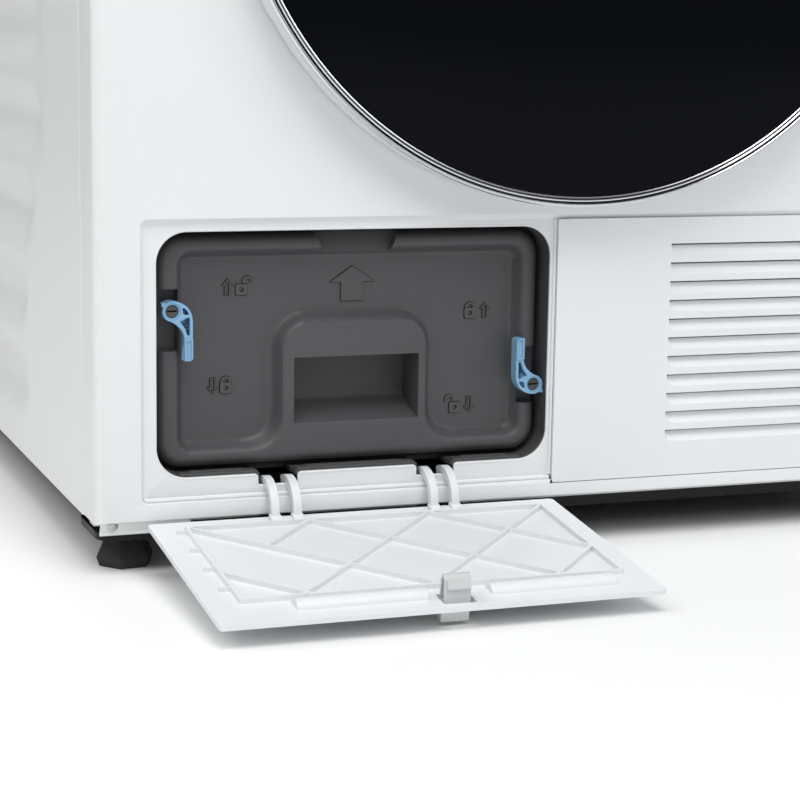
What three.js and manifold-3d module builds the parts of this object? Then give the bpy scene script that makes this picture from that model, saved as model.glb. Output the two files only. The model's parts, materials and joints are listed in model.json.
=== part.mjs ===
// A 600 mm wide heat-pump clothes dryer, standing on four levelling feet, with its
// service flap open in front of the heat exchanger cover.
// Millimetres, +Z up, the front faces -Y. Inside the dryer group, Y is measured from
// the plane of the front panel into the machine, and X from the middle of the machine.
import * as THREE from 'three';
import { mergeVertices } from 'three/addons/utils/BufferGeometryUtils.js';
import Module from 'manifold-3d';

const wasm = await Module();
wasm.setup();

// ---- driving dimensions -------------------------------------------------------------
const width = 600;
const height = 850;
const depth = 600;                 // front panel plane to the back of the rear panel
const halfWidth = width / 2;
const panelBottom = 33;            // lower edge of the front panel above the floor
const sheet = 1.5;                 // painted sheet steel
const gap = 0.4;                   // play between pieces that touch
const topThickness = 22;
const fasciaHeight = 90;
const cornerRadius = 6;
const frontReturn = 35.7;          // how far the front panel wraps round the sides

const topUnderside = height - topThickness;
const fasciaBottom = topUnderside - fasciaHeight;

// the strip at the foot of the front panel that the flap and the grille sit in
const strip = {
  left: -271.2,
  right: 271.2,
  bottom: panelBottom + 10.3,
  top: panelBottom + 176.4,
  depth: 3.4,
  split: -7.3,
};
const opening = {
  left: -262.4,
  right: -10.8,
  bottom: panelBottom + 25.4,
  top: panelBottom + 171.5,
  radius: 18.5,
};
const openingMiddle = (opening.left + opening.right) / 2;
const openingCentreZ = (opening.bottom + opening.top) / 2;

// the flap, drawn closed and hung open on two pins
const flap = {
  pinY: 5,
  pinZ: panelBottom + 3,
  openDegrees: 96.6,
  thickness: 3,
  left: strip.left + 0.8,
  right: strip.split - 1.8,
  bottom: panelBottom + 13.9,
  top: strip.top - gap,
  latchX: -133.4,
  latchZ: panelBottom + 163,
};
const arm = { inner: 15.6, outer: 19.8, width: 5, offset: 6.95, hub: 3.2, hole: 1.8, spokeDegrees: -20 };
const hingeX = [openingMiddle - 50.6, openingMiddle + 51.4];
const hingePocketHalf = 12.3;

// the heat exchanger cover and its levers
const cover = {
  inset: 1.8,
  middle: openingMiddle + 2,
  crest: 14,
  field: 24,
  bump: 15,
  back: 36,
  rimLeft: 14.8,
  rimRight: 11.6,
  rimTop: 14,
  rimBottom: 14,
};
const lever = {
  middleX: openingMiddle + 2.1,
  middleZ: openingCentreZ - 0.9,
  offsetX: 117,
  offsetZ: 26.6,
  front: 8.5,
  thick: 8,
  boss: 6.2,
  hole: 4.6,
  reach: 29.7,
  near: 7.2,
  far: 12.4,
};

const door = {
  z: 448,
  outer: 230,
  front: -25,
  back: -1,
  opening: 172,
  bowl: 162,
  hingeX: 226,
  hingeY: -14,
  knuckleOffset: 62,
};
const drum = { z: 480, radius: 262, front: 50, back: 510, mouth: 216, wall: 2 };
const motor = { x: 190, z: 125, radius: 52, front: 230, back: 350, pulley: 12, beltY: 385, beltWidth: 8 };
const tank = { left: -288, right: -62, inset: 8 };
const knob = { x: 8, radius: 27, depth: 24 };
const foot = { x: 275, front: 35, rear: 560, radius: 18.5, height: 16.5, turn: -22 };
const baseFrame = { half: 286, front: 20, back: 584, bottom: 21, top: 52, wall: 4 };

const radians = THREE.MathUtils.degToRad;

// ---- materials ----------------------------------------------------------------------
const finish = (color, roughness, metalness = 0) =>
  new THREE.MeshStandardMaterial({ color, roughness, metalness });

const white = finish(0xe6eaeb, 0.35);
const whitePlastic = finish(0xdee4e7, 0.5);
const darkPlastic = finish(0x4b4b4e, 0.6);
const blackPlastic = finish(0x232222, 0.6);
const bluePlastic = finish(0x96c3e1, 0.35);
const paleClip = finish(0xcdd0d0, 0.4);
const chrome = finish(0xd0d2d6, 0.12, 1);
const darkGlass = finish(0x0c0d12, 0.05);
const clearGlass = finish(0x9fb0b8, 0.05);
const steel = finish(0xa9adb0, 0.35, 1);
const galvanised = finish(0x9aa0a3, 0.5, 1);
const aluminium = finish(0xb9bdc0, 0.4, 1);
const copperBoard = finish(0x2c6a45, 0.6);
const rubber = finish(0x1c1c1c, 0.85);
const tankPlastic = finish(0xc9d2d6, 0.4);

// ---- shapes -------------------------------------------------------------------------
const planes = {
  // outline axes and extrusion axis of a prism, named by the plane of its outline
  XY: [[1, 0, 0], [0, 1, 0], [0, 0, 1]],
  YZ: [[0, 1, 0], [0, 0, 1], [1, 0, 0]],
  XZ: [[1, 0, 0], [0, 0, 1], [0, -1, 0]],
};

function toSolid(geometry) {
  const plain = geometry.clone();
  plain.deleteAttribute('normal');
  plain.deleteAttribute('uv');
  const merged = mergeVertices(plain, 1e-4);
  return new wasm.Manifold(new wasm.Mesh({
    numProp: 3,
    vertProperties: new Float32Array(merged.attributes.position.array),
    triVerts: new Uint32Array(merged.index.array),
  }));
}

function toGeometry(solid) {
  const mesh = solid.getMesh();
  const geometry = new THREE.BufferGeometry();
  geometry.setAttribute('position', new THREE.BufferAttribute(new Float32Array(mesh.vertProperties), 3));
  geometry.setIndex(new THREE.BufferAttribute(new Uint32Array(mesh.triVerts), 1));
  geometry.computeVertexNormals();
  return geometry;
}

const join = (first, ...others) => others.reduce((sum, other) => sum.add(other), first);
const cut = (first, ...others) => others.reduce((rest, other) => rest.subtract(other), first);

function slab(x0, x1, y0, y1, z0, z1) {
  const box = new THREE.BoxGeometry(x1 - x0, y1 - y0, z1 - z0);
  return toSolid(box.translate((x0 + x1) / 2, (y0 + y1) / 2, (z0 + z1) / 2));
}

// A prism whose outline lies in the named plane, from one place to another on the third axis.
function prism(plane, outline, from, to, curveSegments = 6) {
  const shape = outline instanceof THREE.Shape ? outline : new THREE.Shape(
    outline.map(([a, b]) => new THREE.Vector2(a, b)));
  const body = new THREE.ExtrudeGeometry(shape, { depth: to - from, bevelEnabled: false, curveSegments });
  const [u, v, w] = planes[plane].map((axis) => new THREE.Vector3(...axis));
  const start = plane === 'XZ' ? to : from;
  const place = new THREE.Matrix4().makeBasis(u, v, w);
  place.setPosition(w.clone().multiplyScalar(plane === 'XZ' ? -start : start));
  return toSolid(body.applyMatrix4(place));
}

function roundedOutline(a0, a1, b0, b1, radius) {
  const shape = new THREE.Shape();
  shape.moveTo(a0 + radius, b0);
  shape.lineTo(a1 - radius, b0);
  shape.absarc(a1 - radius, b0 + radius, radius, -Math.PI / 2, 0);
  shape.lineTo(a1, b1 - radius);
  shape.absarc(a1 - radius, b1 - radius, radius, 0, Math.PI / 2);
  shape.lineTo(a0 + radius, b1);
  shape.absarc(a0 + radius, b1 - radius, radius, Math.PI / 2, Math.PI);
  shape.lineTo(a0, b0 + radius);
  shape.absarc(a0 + radius, b0 + radius, radius, Math.PI, Math.PI * 1.5);
  return shape;
}

// A cylinder along one axis; centre holds the other two coordinates in X, Y, Z order.
function rod(axis, radius, centre, from, to, segments = 24) {
  const body = new THREE.CylinderGeometry(radius, radius, to - from, segments);
  const middle = (from + to) / 2;
  if (axis === 'x') body.rotateZ(-Math.PI / 2).translate(middle, centre[0], centre[1]);
  if (axis === 'y') body.translate(centre[0], middle, centre[1]);
  if (axis === 'z') body.rotateX(Math.PI / 2).translate(centre[0], centre[1], middle);
  return toSolid(body);
}

// A body turned about an axis along Y; the profile holds [radius, y] points.
function turned(profile, x, z, segments = 48) {
  const points = profile.map(([radius, y]) => new THREE.Vector2(radius, y));
  return toSolid(new THREE.LatheGeometry(points, segments).translate(x, 0, z));
}

const ring = (inner, outer, y0, y1, x, z, segments) => turned(
  [[inner, y0], [outer, y0], [outer, y1], [inner, y1], [inner, y0]], x, z, segments);

function named(name, solid, material) {
  const mesh = new THREE.Mesh(toGeometry(solid), material);
  mesh.name = name;
  return mesh;
}

function assembly(...pieces) {
  const group = new THREE.Group();
  group.add(...pieces.flat());
  return group;
}

// ---- cabinet ------------------------------------------------------------------------
function wrapOutline(inset, back) {
  const x = halfWidth - inset;
  const radius = cornerRadius - inset;
  const shape = new THREE.Shape();
  shape.moveTo(-x, back);
  shape.lineTo(-x, inset + radius);
  shape.absarc(-x + radius, inset + radius, radius, Math.PI, Math.PI * 1.5);
  shape.lineTo(x - radius, inset);
  shape.absarc(x - radius, inset + radius, radius, -Math.PI / 2, 0);
  shape.lineTo(x, back);
  return shape;
}

function makeFrontPanel() {
  const top = fasciaBottom - gap;
  const backing = strip.depth + sheet;
  const flange = 18;
  const shell = cut(
    prism('XY', wrapOutline(0, frontReturn), panelBottom, top),
    prism('XY', wrapOutline(sheet, frontReturn + 1), panelBottom + sheet, top + 1),
    slab(-halfWidth + sheet, halfWidth - sheet, flange, frontReturn + 1, panelBottom - 1, panelBottom + 3));
  const dished = join(shell, slab(
    strip.left - sheet, strip.right + sheet, 0.5, backing, strip.bottom - 3, strip.top + sheet));
  const shelfRise = 3.2;
  const flapRecess = prism('YZ', [
    [-1, strip.bottom - shelfRise / strip.depth],
    [strip.depth, strip.bottom + shelfRise],
    [strip.depth, strip.top],
    [-1, strip.top],
  ], strip.left, strip.split);
  const grilleRecess = slab(strip.split - 1, strip.right, -1, strip.depth, strip.bottom - 1.7, strip.top);
  const window = prism('XZ', roundedOutline(
    opening.left, opening.right, opening.bottom, opening.top, opening.radius), -1, backing + 1);
  const airWindow = slab(50, 262, -1, backing + 1, panelBottom + 30, panelBottom + 166);
  const armPockets = hingeX.map((x) => join(
    slab(x - hingePocketHalf, x + hingePocketHalf, -1, backing + 1, panelBottom + 18.1, opening.bottom + 5),
    slab(x - 10.6, x + 10.6, strip.depth - 1, backing + 1, strip.bottom - 4, strip.bottom + 1.2),
    slab(x - 10.6, x + 10.6, sheet, flange + 1, panelBottom - 1, panelBottom + 2)));
  const hookSlot = slab(-214, -196, -1, sheet + 1, door.z - 10, door.z + 10);
  const tabs = [-1, 1].map((side) => prism('YZ', [
    [0.8, panelBottom + 1], [4.5, panelBottom - 7], [5.8, panelBottom - 7], [2.6, panelBottom + 1],
  ], Math.min(side * 242, side * 293), Math.max(side * 242, side * 293)));
  return cut(join(dished, ...tabs), flapRecess, grilleRecess, window, airWindow, ...armPockets, hookSlot,
    rod('y', door.opening, [0, door.z], -1, sheet + 1, 48));
}

function makeSidePanel(side) {
  const outer = side * halfWidth;
  const face = outer - side * sheet;
  const lip = outer - side * 14;
  const front = frontReturn + gap;
  const back = depth - 10;
  return prism('XY', [
    [outer, front], [lip, front], [lip, front + sheet], [face, front + sheet],
    [face, back - sheet], [lip, back - sheet], [lip, back], [outer, back],
  ], panelBottom - 1.8, topUnderside - gap);
}

function makeTopPanel() {
  const overhang = 2;
  const wall = 3;
  const outer = prism('XY', roundedOutline(
    -halfWidth, halfWidth, -overhang, depth - 6, 8), topUnderside, height);
  const hollow = slab(-halfWidth + wall, halfWidth - wall, wall, depth - 12, topUnderside - 1, height - wall);
  return cut(outer, hollow);
}

function makeRearPanel() {
  const front = depth - 9;
  const half = halfWidth - 3;
  const plate = slab(-half, half, front, front + sheet, baseFrame.top + gap, topUnderside - gap);
  const cowlRadius = 215;
  const cowl = turned([
    [0, depth - 1.5], [cowlRadius - 14, depth - 1.5], [cowlRadius, front], [cowlRadius + 2, front],
    [cowlRadius + 2, front + sheet], [cowlRadius - 12, depth], [0, depth],
  ], 0, drum.z, 32);
  return join(
    cut(plate, rod('y', cowlRadius - 3, [0, drum.z], front - 1, depth, 32),
      rod('y', 9.4, [-230, 110], front - 1, depth), rod('y', 10.4, [-230, 160], front - 1, depth)),
    cowl);
}

function makeBaseFrame() {
  const { half, front, back, bottom, top, wall } = baseFrame;
  const tray = cut(
    slab(-half, half, front, back, bottom, top),
    slab(-half + wall, half - wall, front + wall, back - wall, bottom + 5, top + 1));
  const studs = [-1, 1].flatMap((side) => [foot.front, foot.rear].map(
    (y) => rod('z', 5.5, [side * foot.x, y], bottom - 1, top + 1, 16)));
  const armPockets = hingeX.map((x) => slab(x - 11.5, x + 11.5, front - 1, 30, bottom - 1, top + 1));
  const pocketWalls = hingeX.map((x) => cut(
    slab(x - 14, x + 14, front, 33, bottom, top),
    slab(x - 11.5, x + 11.5, front - 1, 30, bottom - 1, top + 1)));
  const corners = [-1, 1].map((side) => prism('XY', roundedOutline(
    Math.min(side * 240, side * 297), Math.max(side * 240, side * 297), 5.5, 70, 13), bottom, bottom + 4.4));
  return join(cut(join(tray, ...corners), ...studs, ...armPockets), ...pocketWalls);
}

// A six-sided skirt, widest a little above the floor, on a threaded stud.
function makeFoot(side, y) {
  const { radius, height: top } = foot;
  const sides = [[radius - 2, 0], [radius, 5.5], [radius - 5, top]];
  const bands = sides.slice(1).map(([upper, z1], i) => {
    const [lower, z0] = sides[i];
    return toSolid(new THREE.CylinderGeometry(upper, lower, z1 - z0, 6)
      .rotateX(Math.PI / 2)
      .rotateZ(radians(foot.turn))
      .translate(side * foot.x, y, (z0 + z1) / 2));
  });
  return join(...bands, rod('z', 5, [side * foot.x, y], top - 1, 44, 16));
}

// The screw's head stands on the sloped tab under the panel's corner.
function makePanelScrew() {
  const slope = Math.atan2(3.7, 8);
  const head = new THREE.CylinderGeometry(3.6, 4.4, 2, 16);
  return toSolid(head.rotateX(Math.PI + slope).translate(10 - halfWidth, 2.65, panelBottom - 6));
}

function makeFrontBulkhead() {
  return cut(
    slab(-halfWidth + 4, halfWidth - 4, 41, 44, 222, fasciaBottom - 2),
    rod('y', door.opening + 5, [0, door.z], 40, 45, 48),
    slab(-92, 92, 40, 45, 221, 300));
}

function makeRearBulkhead() {
  const hub = ring(13, 30, 519, 545, 0, drum.z, 32);
  return join(
    cut(slab(-halfWidth + 4, halfWidth - 4, 530, 533, baseFrame.top + 4, topUnderside - 10),
      rod('y', 25, [0, drum.z], 529, 534),
      slab(-120, 120, 529, 534, drum.z - 190, drum.z - 80)),
    hub);
}

const cabinet = [
  named('front_panel', makeFrontPanel(), white),
  named('left_side_panel', makeSidePanel(-1), white),
  named('right_side_panel', makeSidePanel(1), white),
  named('top_panel', makeTopPanel(), white),
  named('rear_panel', makeRearPanel(), galvanised),
  named('base_frame', makeBaseFrame(), blackPlastic),
  named('front_bulkhead', makeFrontBulkhead(), galvanised),
  named('rear_bulkhead', makeRearBulkhead(), galvanised),
  named('panel_screw', makePanelScrew(), steel),
  named('cable_gland', join(rod('y', 9, [-230, 110], depth - 20, depth - 2),
    rod('y', 12, [-230, 110], depth - 7.1, depth - 3)), blackPlastic),
  named('drain_spigot', cut(
    join(rod('y', 10, [-230, 160], depth - 30, depth - 1), rod('y', 13, [-230, 160], depth - 7.1, depth - 5)),
    rod('y', 7, [-230, 160], depth - 31, depth)), whitePlastic),
];
for (const [side, sideName] of [[-1, 'left'], [1, 'right']]) {
  cabinet.push(named(`foot_front_${sideName}`, makeFoot(side, foot.front), rubber));
  cabinet.push(named(`foot_rear_${sideName}`, makeFoot(side, foot.rear), rubber));
}

// ---- vent grille --------------------------------------------------------------------
const louvres = { count: 11, left: 72, right: 252, first: panelBottom + 159.2, last: panelBottom + 38.7, slot: 3.4 };

function makeGrille() {
  const plate = slab(strip.split + gap, strip.right - gap, 0, flap.thickness, panelBottom + 8.9, strip.top - gap);
  const pitch = (louvres.first - louvres.last) / (louvres.count - 1);
  const slots = [];
  const hoods = [];
  for (let i = 0; i < louvres.count; i += 1) {
    const top = louvres.first - i * pitch;
    slots.push(slab(louvres.left, louvres.right, -1, 8, top - 7.3, top - 7.3 + louvres.slot));
    hoods.push(prism('YZ', [
      [0.5, top], [-2, top - 3.9], [-0.8, top - 3.9], [1.8, top],
    ], louvres.left, louvres.right));
  }
  return join(cut(plate, ...slots), ...hoods);
}

// ---- service flap -------------------------------------------------------------------
// Drawn closed about its pins: Y and Z from the pin axis.
const flapY = (y) => y - flap.pinY;
const flapZ = (z) => z - flap.pinZ;

function makeFlapArm(x) {
  // angles from straight up, positive towards the front
  const spoke = arm.spokeDegrees - flap.openDegrees;
  const polar = (radius, degrees) => [-radius * Math.sin(radians(degrees)), radius * Math.cos(radians(degrees))];
  const steps = 12;
  const outline = [];
  for (let i = 0; i <= steps; i += 1) {
    outline.push(polar(arm.outer, 5 + (spoke - 7 - 5) * (i / steps)));
  }
  for (let i = steps; i >= 0; i -= 1) {
    outline.push(polar(arm.inner, 6.5 + (spoke - 7 - 6.5) * (i / steps)));
  }
  const half = 2.3;
  const across = polar(half, spoke + 90);
  const tip = polar(arm.inner + 1, spoke);
  const spokeOutline = [
    [across[0], across[1]], [tip[0] + across[0], tip[1] + across[1]],
    [tip[0] - across[0], tip[1] - across[1]], [-across[0], -across[1]],
  ];
  const x0 = x - arm.width / 2;
  const x1 = x + arm.width / 2;
  return cut(
    join(prism('YZ', outline, x0, x1), prism('YZ', spokeOutline, x0, x1), rod('x', arm.hub, [0, 0], x0, x1, 20)),
    rod('x', arm.hole, [0, 0], x0 - 1, x1 + 1, 16));
}

// The wedge that an arm stands on, wider than the arm.
function makeArmFoot(x) {
  const inner = flapY(flap.thickness) - 0.5;
  const low = flapZ(flap.bottom) + 5.2;
  return prism('YZ', [
    [inner, low], [inner + 4.2, low], [inner + 4.2, low + 3], [inner + 1.5, low + 11], [inner, low + 11],
  ], x - 3.3, x + 3.3);
}

const ribs = { left: -251, right: -24, near: 16, far: 133, width: 2, height: 3, cell: 75.7 };

function ribBetween([x0, a0], [x1, a1]) {
  const length = Math.hypot(x1 - x0, a1 - a0);
  const bar = new THREE.BoxGeometry(length + 1, ribs.height + 0.5, ribs.width);
  bar.rotateY(-Math.atan2(a1 - a0, x1 - x0));
  const inner = flapY(flap.thickness);
  return toSolid(bar.translate((x0 + x1) / 2, inner + (ribs.height - 0.5) / 2, flapZ(flap.bottom) + (a0 + a1) / 2));
}

function makeRibs() {
  const { left, right, near, far, cell } = ribs;
  const rise = far - near;
  const lines = [
    [[left, near], [right, near]], [[left, far], [right, far]],
    [[left, near], [left, far]], [[right, near], [right, far]],
    [[left, near + cell], [left + rise - cell, far]],
    [[right, near + cell], [right - rise + cell, far]],
    [[left + cell, near], [left + cell / 2, near + cell / 2]],
  ];
  for (let i = 0; i < 3; i += 1) {
    const start = left + i * cell;
    const reach = Math.min(rise, right - start);
    lines.push([[start, near], [start + reach, near + reach]]);
  }
  for (let i = 2; i < 4; i += 1) {
    const start = left + i * cell;
    lines.push([[start, near], [start - rise, far]]);
  }
  return lines.map(([from, to]) => ribBetween(from, to));
}

function makeGripBar(x0, x1) {
  const inner = flapY(flap.thickness);
  const centre = flapZ(flap.bottom) + 143;
  const outline = new THREE.Shape();
  outline.moveTo(inner - 0.5, centre - 6);
  outline.lineTo(inner - 0.5, centre + 6);
  outline.lineTo(inner, centre + 6);
  outline.absellipse(inner, centre, 4.5, 6, Math.PI / 2, -Math.PI / 2, true);
  return prism('YZ', outline, x0, x1);
}

function makeFlap() {
  const plate = prism('XZ', roundedOutline(
    flap.left, flap.right, flapZ(flap.bottom), flapZ(flap.top), 2.5), flapY(0), flapY(flap.thickness));
  const latchSlot = slab(flap.latchX - 9, flap.latchX + 10.2, flapY(-1), flapY(12),
    flapZ(flap.latchZ) - 7, flapZ(flap.latchZ) + 8);
  const arms = hingeX.flatMap((x) => [-1, 1].map((side) => makeFlapArm(x + side * arm.offset)));
  const inner = flapY(flap.thickness);
  const pads = hingeX.map((x) => slab(x - 10.3, x + 10.3, inner - 0.5, inner + 1.2,
    flapZ(flap.bottom) + 4.8, flapZ(flap.bottom) + 17));
  const armFeet = hingeX.flatMap((x) => [-1, 1].map((side) => makeArmFoot(x + side * arm.offset)));
  const fins = [20, 51, 82, 113].map((along) => slab(ribs.left - 7, ribs.left + 0.5, inner - 0.5, inner + 2.5,
    flapZ(flap.bottom) + along, flapZ(flap.bottom) + along + 1.5));
  const bars = [makeGripBar(-224, -148.5), makeGripBar(-110.8, -35.2)];
  return cut(join(plate, ...makeRibs(), ...arms, ...armFeet, ...pads, ...fins, ...bars), latchSlot);
}

// The latch is drawn about its own tilt axis in the middle of the flap's thickness: a
// clip bent over at the top, a hook across its front, and a finger tab below the flap.
function makeFlapLatch() {
  const half = 7.8;
  const bent = (base, top, crown, low) => [
    [low, -base], [13, -top], [crown - 1.1, 0.9 - top], [crown, -0.35 * top],
    [crown, 0.35 * top], [crown - 1.1, top - 0.9], [13, top], [low, base],
  ];
  const clip = cut(
    prism('YZ', bent(4.2, 3, 16, -1), -half, half),
    prism('YZ', bent(2.7, 1.5, 14.5, 0.8), -half - 1, half + 1));
  const hook = prism('YZ', [[7.8, 2.8], [8.3, 5.3], [9.1, 5.5], [13.2, 4], [13.2, 2.5]], 1.4 - half, half - 0.5);
  const tab = prism('XY', roundedOutline(-half - 0.6, half + 0.6, -11.5, -0.9, 1.4), -4.2, 1.8);
  return join(clip, hook, tab);
}

function makeFlapPin(x) {
  const lug = (x0, x1) => slab(x0, x1, 1.9, 8.2, panelBottom + 1.9, strip.bottom - 3.4);
  return join(
    rod('x', 1.5, [flap.pinY, flap.pinZ], x - 12, x + 12, 16),
    lug(x - 13.4, x - 10.4),
    lug(x + 10.4, x + 13.4));
}

function makeFlapAssembly() {
  const latch = named('flap_latch', makeFlapLatch(), paleClip);
  latch.position.set(flap.latchX, flapY(flap.thickness / 2), flapZ(flap.latchZ));
  const group = assembly(named('access_flap', makeFlap(), whitePlastic), latch);
  group.position.set(0, flap.pinY, flap.pinZ);
  group.rotation.x = radians(flap.openDegrees);
  return group;
}

// ---- heat exchanger behind the flap -------------------------------------------------
function openingOutline(inset) {
  return roundedOutline(opening.left + inset, opening.right - inset, opening.bottom + inset,
    opening.top - inset, opening.radius - inset);
}

function makeHousing() {
  const front = strip.depth + sheet + gap;
  const back = 375;
  const wall = 3;
  const outer = slab(opening.left - wall, opening.right + wall, front, back,
    opening.bottom - wall, opening.top + wall);
  const throat = prism('XZ', openingOutline(-0.1), front - 1, back - wall);
  const outlet = rod('y', 55, [openingMiddle, openingCentreZ], back - wall - 1, back + 1, 32);
  const armPockets = hingeX.map((x) => slab(x - 11.5, x + 11.5, front - 1, 30,
    opening.bottom - wall - 1, opening.bottom + 1));
  return cut(outer, throat, outlet, ...armPockets);
}

function makeCover() {
  const { crest, field, back } = cover;
  const left = opening.left + cover.inset;
  const right = opening.right - cover.inset;
  const bottom = opening.bottom + cover.inset;
  const top = opening.top - cover.inset;
  const body = prism('XZ', openingOutline(cover.inset), crest, back);
  const dish = prism('XZ', roundedOutline(
    left + cover.rimLeft, right - cover.rimRight, bottom + cover.rimBottom, top - cover.rimTop, 6),
    crest - 1, field);
  const hollow = prism('XZ', openingOutline(cover.inset + 4), field + 4, back + 1);
  const bump = prism('XZ', roundedOutline(
    cover.middle - 50, cover.middle + 50, bottom + 8, panelBottom + 118, 20), cover.bump, field + 1);
  const wellWall = 3;
  const well = { left: -174.2, right: -93.2, bottom: panelBottom + 52.4, top: panelBottom + 93, floor: 44 };
  const wellBody = slab(well.left - wellWall, well.right + wellWall, field, well.floor + wellWall,
    well.bottom - wellWall, well.top + wellWall);
  const wellHole = slab(well.left, well.right, crest - 1, well.floor, well.bottom, well.top);
  const latchNotch = slab(cover.middle - 23.5, cover.middle + 23.5, crest - 1, 32, panelBottom + 153, top + 1);
  const latchBox = slab(cover.middle - 26.5, cover.middle + 26.5, field, back, panelBottom + 150, top - 0.5);
  const notchSpan = (side, y0, y1) => slab(
    side < 0 ? left - 1 : right - cover.rimRight - 1,
    side < 0 ? left + cover.rimLeft + 1 : right + 1,
    y0, y1, lever.middleZ - side * 20.5 - 18.6, lever.middleZ - side * 20.5 + 18.6);
  const pivot = (side) => [lever.middleX + side * lever.offsetX, lever.middleZ - side * lever.offsetZ];
  const sides = [-1, 1];
  const shell = cut(join(cut(body, dish, hollow), bump, wellBody, latchBox), wellHole, latchNotch);
  const edge = prism('XZ', openingOutline(cover.inset), field, back);
  const floors = sides.map((side) => notchSpan(side, 22, 27).intersect(edge));
  const seats = sides.map((side) => rod('y', lever.hole + 0.2, pivot(side), 22, 27, 24));
  const holes = sides.map((side) => rod('y', lever.hole, pivot(side), 10, 22.2, 20));
  return cut(join(cut(shell, ...sides.map((side) => notchSpan(side, crest - 1, 22))), ...floors, ...seats),
    ...holes);
}

function makeGasket() {
  return cut(
    prism('XZ', openingOutline(gap), 24, 29),
    prism('XZ', openingOutline(cover.inset - gap), 23, 30));
}

// A lever is drawn about its pivot, its arm hanging down on the inward side.
function leverOutline() {
  const { boss, reach, near, far } = lever;
  const shape = new THREE.Shape();
  shape.moveTo(0, boss - 0.1);
  shape.bezierCurveTo(far * 0.55, boss - 0.1, far, 1.5, far, -6.5);
  shape.lineTo(far, 2 - reach);
  shape.absarc(far - 2, 2 - reach, 2, 0, -Math.PI / 2, true);
  shape.lineTo(near, -reach);
  shape.lineTo(near, -16.5);
  shape.bezierCurveTo(near, -12, 4, -8, -2, 0.5 - boss);
  return shape;
}

function makeLever() {
  const { front, thick, boss, hole } = lever;
  return cut(
    join(rod('y', boss, [0, 0], front, 19.6, 24), prism('XZ', leverOutline(), front, front + thick)),
    rod('y', hole, [0, 0], front - 1, 20, 20));
}

function makeLeverScrew() {
  const slot = slab(-3, 3, lever.front + 1, lever.front + 3, -0.5, 0.5);
  return cut(rod('y', lever.hole - gap, [0, 0], lever.front + 1.8, 21.5, 20), slot);
}

function makeLeverAssembly(side, sideName) {
  const x = lever.middleX + side * lever.offsetX;
  const z = lever.middleZ - side * lever.offsetZ;
  const group = assembly(
    named(`lever_${sideName}`, makeLever(), bluePlastic),
    named(`lever_screw_${sideName}`, makeLeverScrew(), blackPlastic));
  group.position.set(x, 0, z);
  group.rotation.y = side < 0 ? 0 : Math.PI;
  return group;
}

// A finned coil: a row of fin packs on two flat tubes.
function makeCoil(y0, y1) {
  const left = opening.left + 10;
  const right = opening.right - 10;
  const bottom = opening.bottom + 6;
  const top = opening.top - 8;
  const count = 8;
  const pitch = (right - left) / count;
  const fins = [];
  for (let i = 0; i <= count; i += 1) {
    fins.push(slab(left + i * pitch - 3, left + i * pitch + 3, y0, y1, bottom, top));
  }
  const tubes = [0.3, 0.7].map((share) => slab(left, right, y0 + 10, y1 - 10,
    bottom + (top - bottom) * share - 5, bottom + (top - bottom) * share + 5));
  return join(...fins, ...tubes);
}

// ---- door ---------------------------------------------------------------------------
function knuckleNotches(reach) {
  return [-1, 1].map((side) => slab(door.hingeX - 9, door.outer + 2, door.front - 8, reach,
    door.z + side * door.knuckleOffset - 9, door.z + side * door.knuckleOffset + 9));
}

function makeDoorFrame() {
  const { outer, back, opening: hole } = door;
  const profile = [
    [150, -17], [223.2, -17], [223.2, -18.6], [outer - 1, -18.6], [outer - 1, back], [hole - 2, back],
    [150, back - 3], [150, -17],
  ];
  return cut(turned(profile, 0, door.z, 48), ...knuckleNotches(2));
}

function makeChromeRing() {
  const { outer, front } = door;
  return cut(turned([
    [223.2, -22], [224.5, front], [228, front], [outer, front + 2], [outer - 1, -19], [223.2, -19], [223.2, -22],
  ], 0, door.z, 48), ...knuckleNotches(-10));
}

function makeDoorGlass() {
  return turned([[0, -31], [90, -30], [160, -27], [222.8, -21], [222.8, -17.4], [0, -17.4]], 0, door.z, 48);
}

function makeDoorBowl() {
  const { bowl } = door;
  return turned([
    [0, 44], [110, 42], [bowl - 22, 34], [bowl, -0.8], [bowl + 3, -0.8], [bowl - 18, 38], [110, 47], [0, 49],
  ], 0, door.z, 40);
}

function makeHingeBracket() {
  const { hingeX: x, hingeY: y, knuckleOffset } = door;
  const knuckle = (side) => {
    const middle = door.z + side * knuckleOffset;
    return join(
      rod('z', 6, [x, y], middle - 8, middle + 8, 20),
      slab(x - 5, x + 8, y, -gap, middle - 8, middle + 8));
  };
  const leaf = slab(x + 6.5, x + 12, -3.4, -gap, door.z - knuckleOffset - 8, door.z + knuckleOffset + 8);
  return join(knuckle(-1), knuckle(1), leaf);
}

function makeDoorHook() {
  return join(
    slab(-210, -200, -0.6, 12, door.z - 5, door.z + 5),
    slab(-212, -200, 9, 12, door.z - 5, door.z + 5));
}

const makeDoor = () => [
  named('door_frame', makeDoorFrame(), white),
  named('chrome_ring', makeChromeRing(), chrome),
  named('door_glass', makeDoorGlass(), darkGlass),
  named('door_bowl', makeDoorBowl(), clearGlass),
  named('door_hook', makeDoorHook(), steel),
];

function makeDoorSeal() {
  return cut(ring(door.opening - 4, door.opening + 4, 2, 40, 0, door.z, 40), slab(-90, 90, 14, 36, 260, 310));
}

// ---- drum and drive -----------------------------------------------------------------
function makeDrum() {
  const { radius, front, back, mouth, wall } = drum;
  return turned([
    [14, back - wall], [radius - 12, back - wall], [radius - wall, back - 14], [radius - wall, front + 14],
    [mouth, front + wall], [mouth, front], [radius, front + 12], [radius, back - 12],
    [radius - 11, back], [14, back], [14, back - wall],
  ], 0, drum.z, 48);
}

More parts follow.
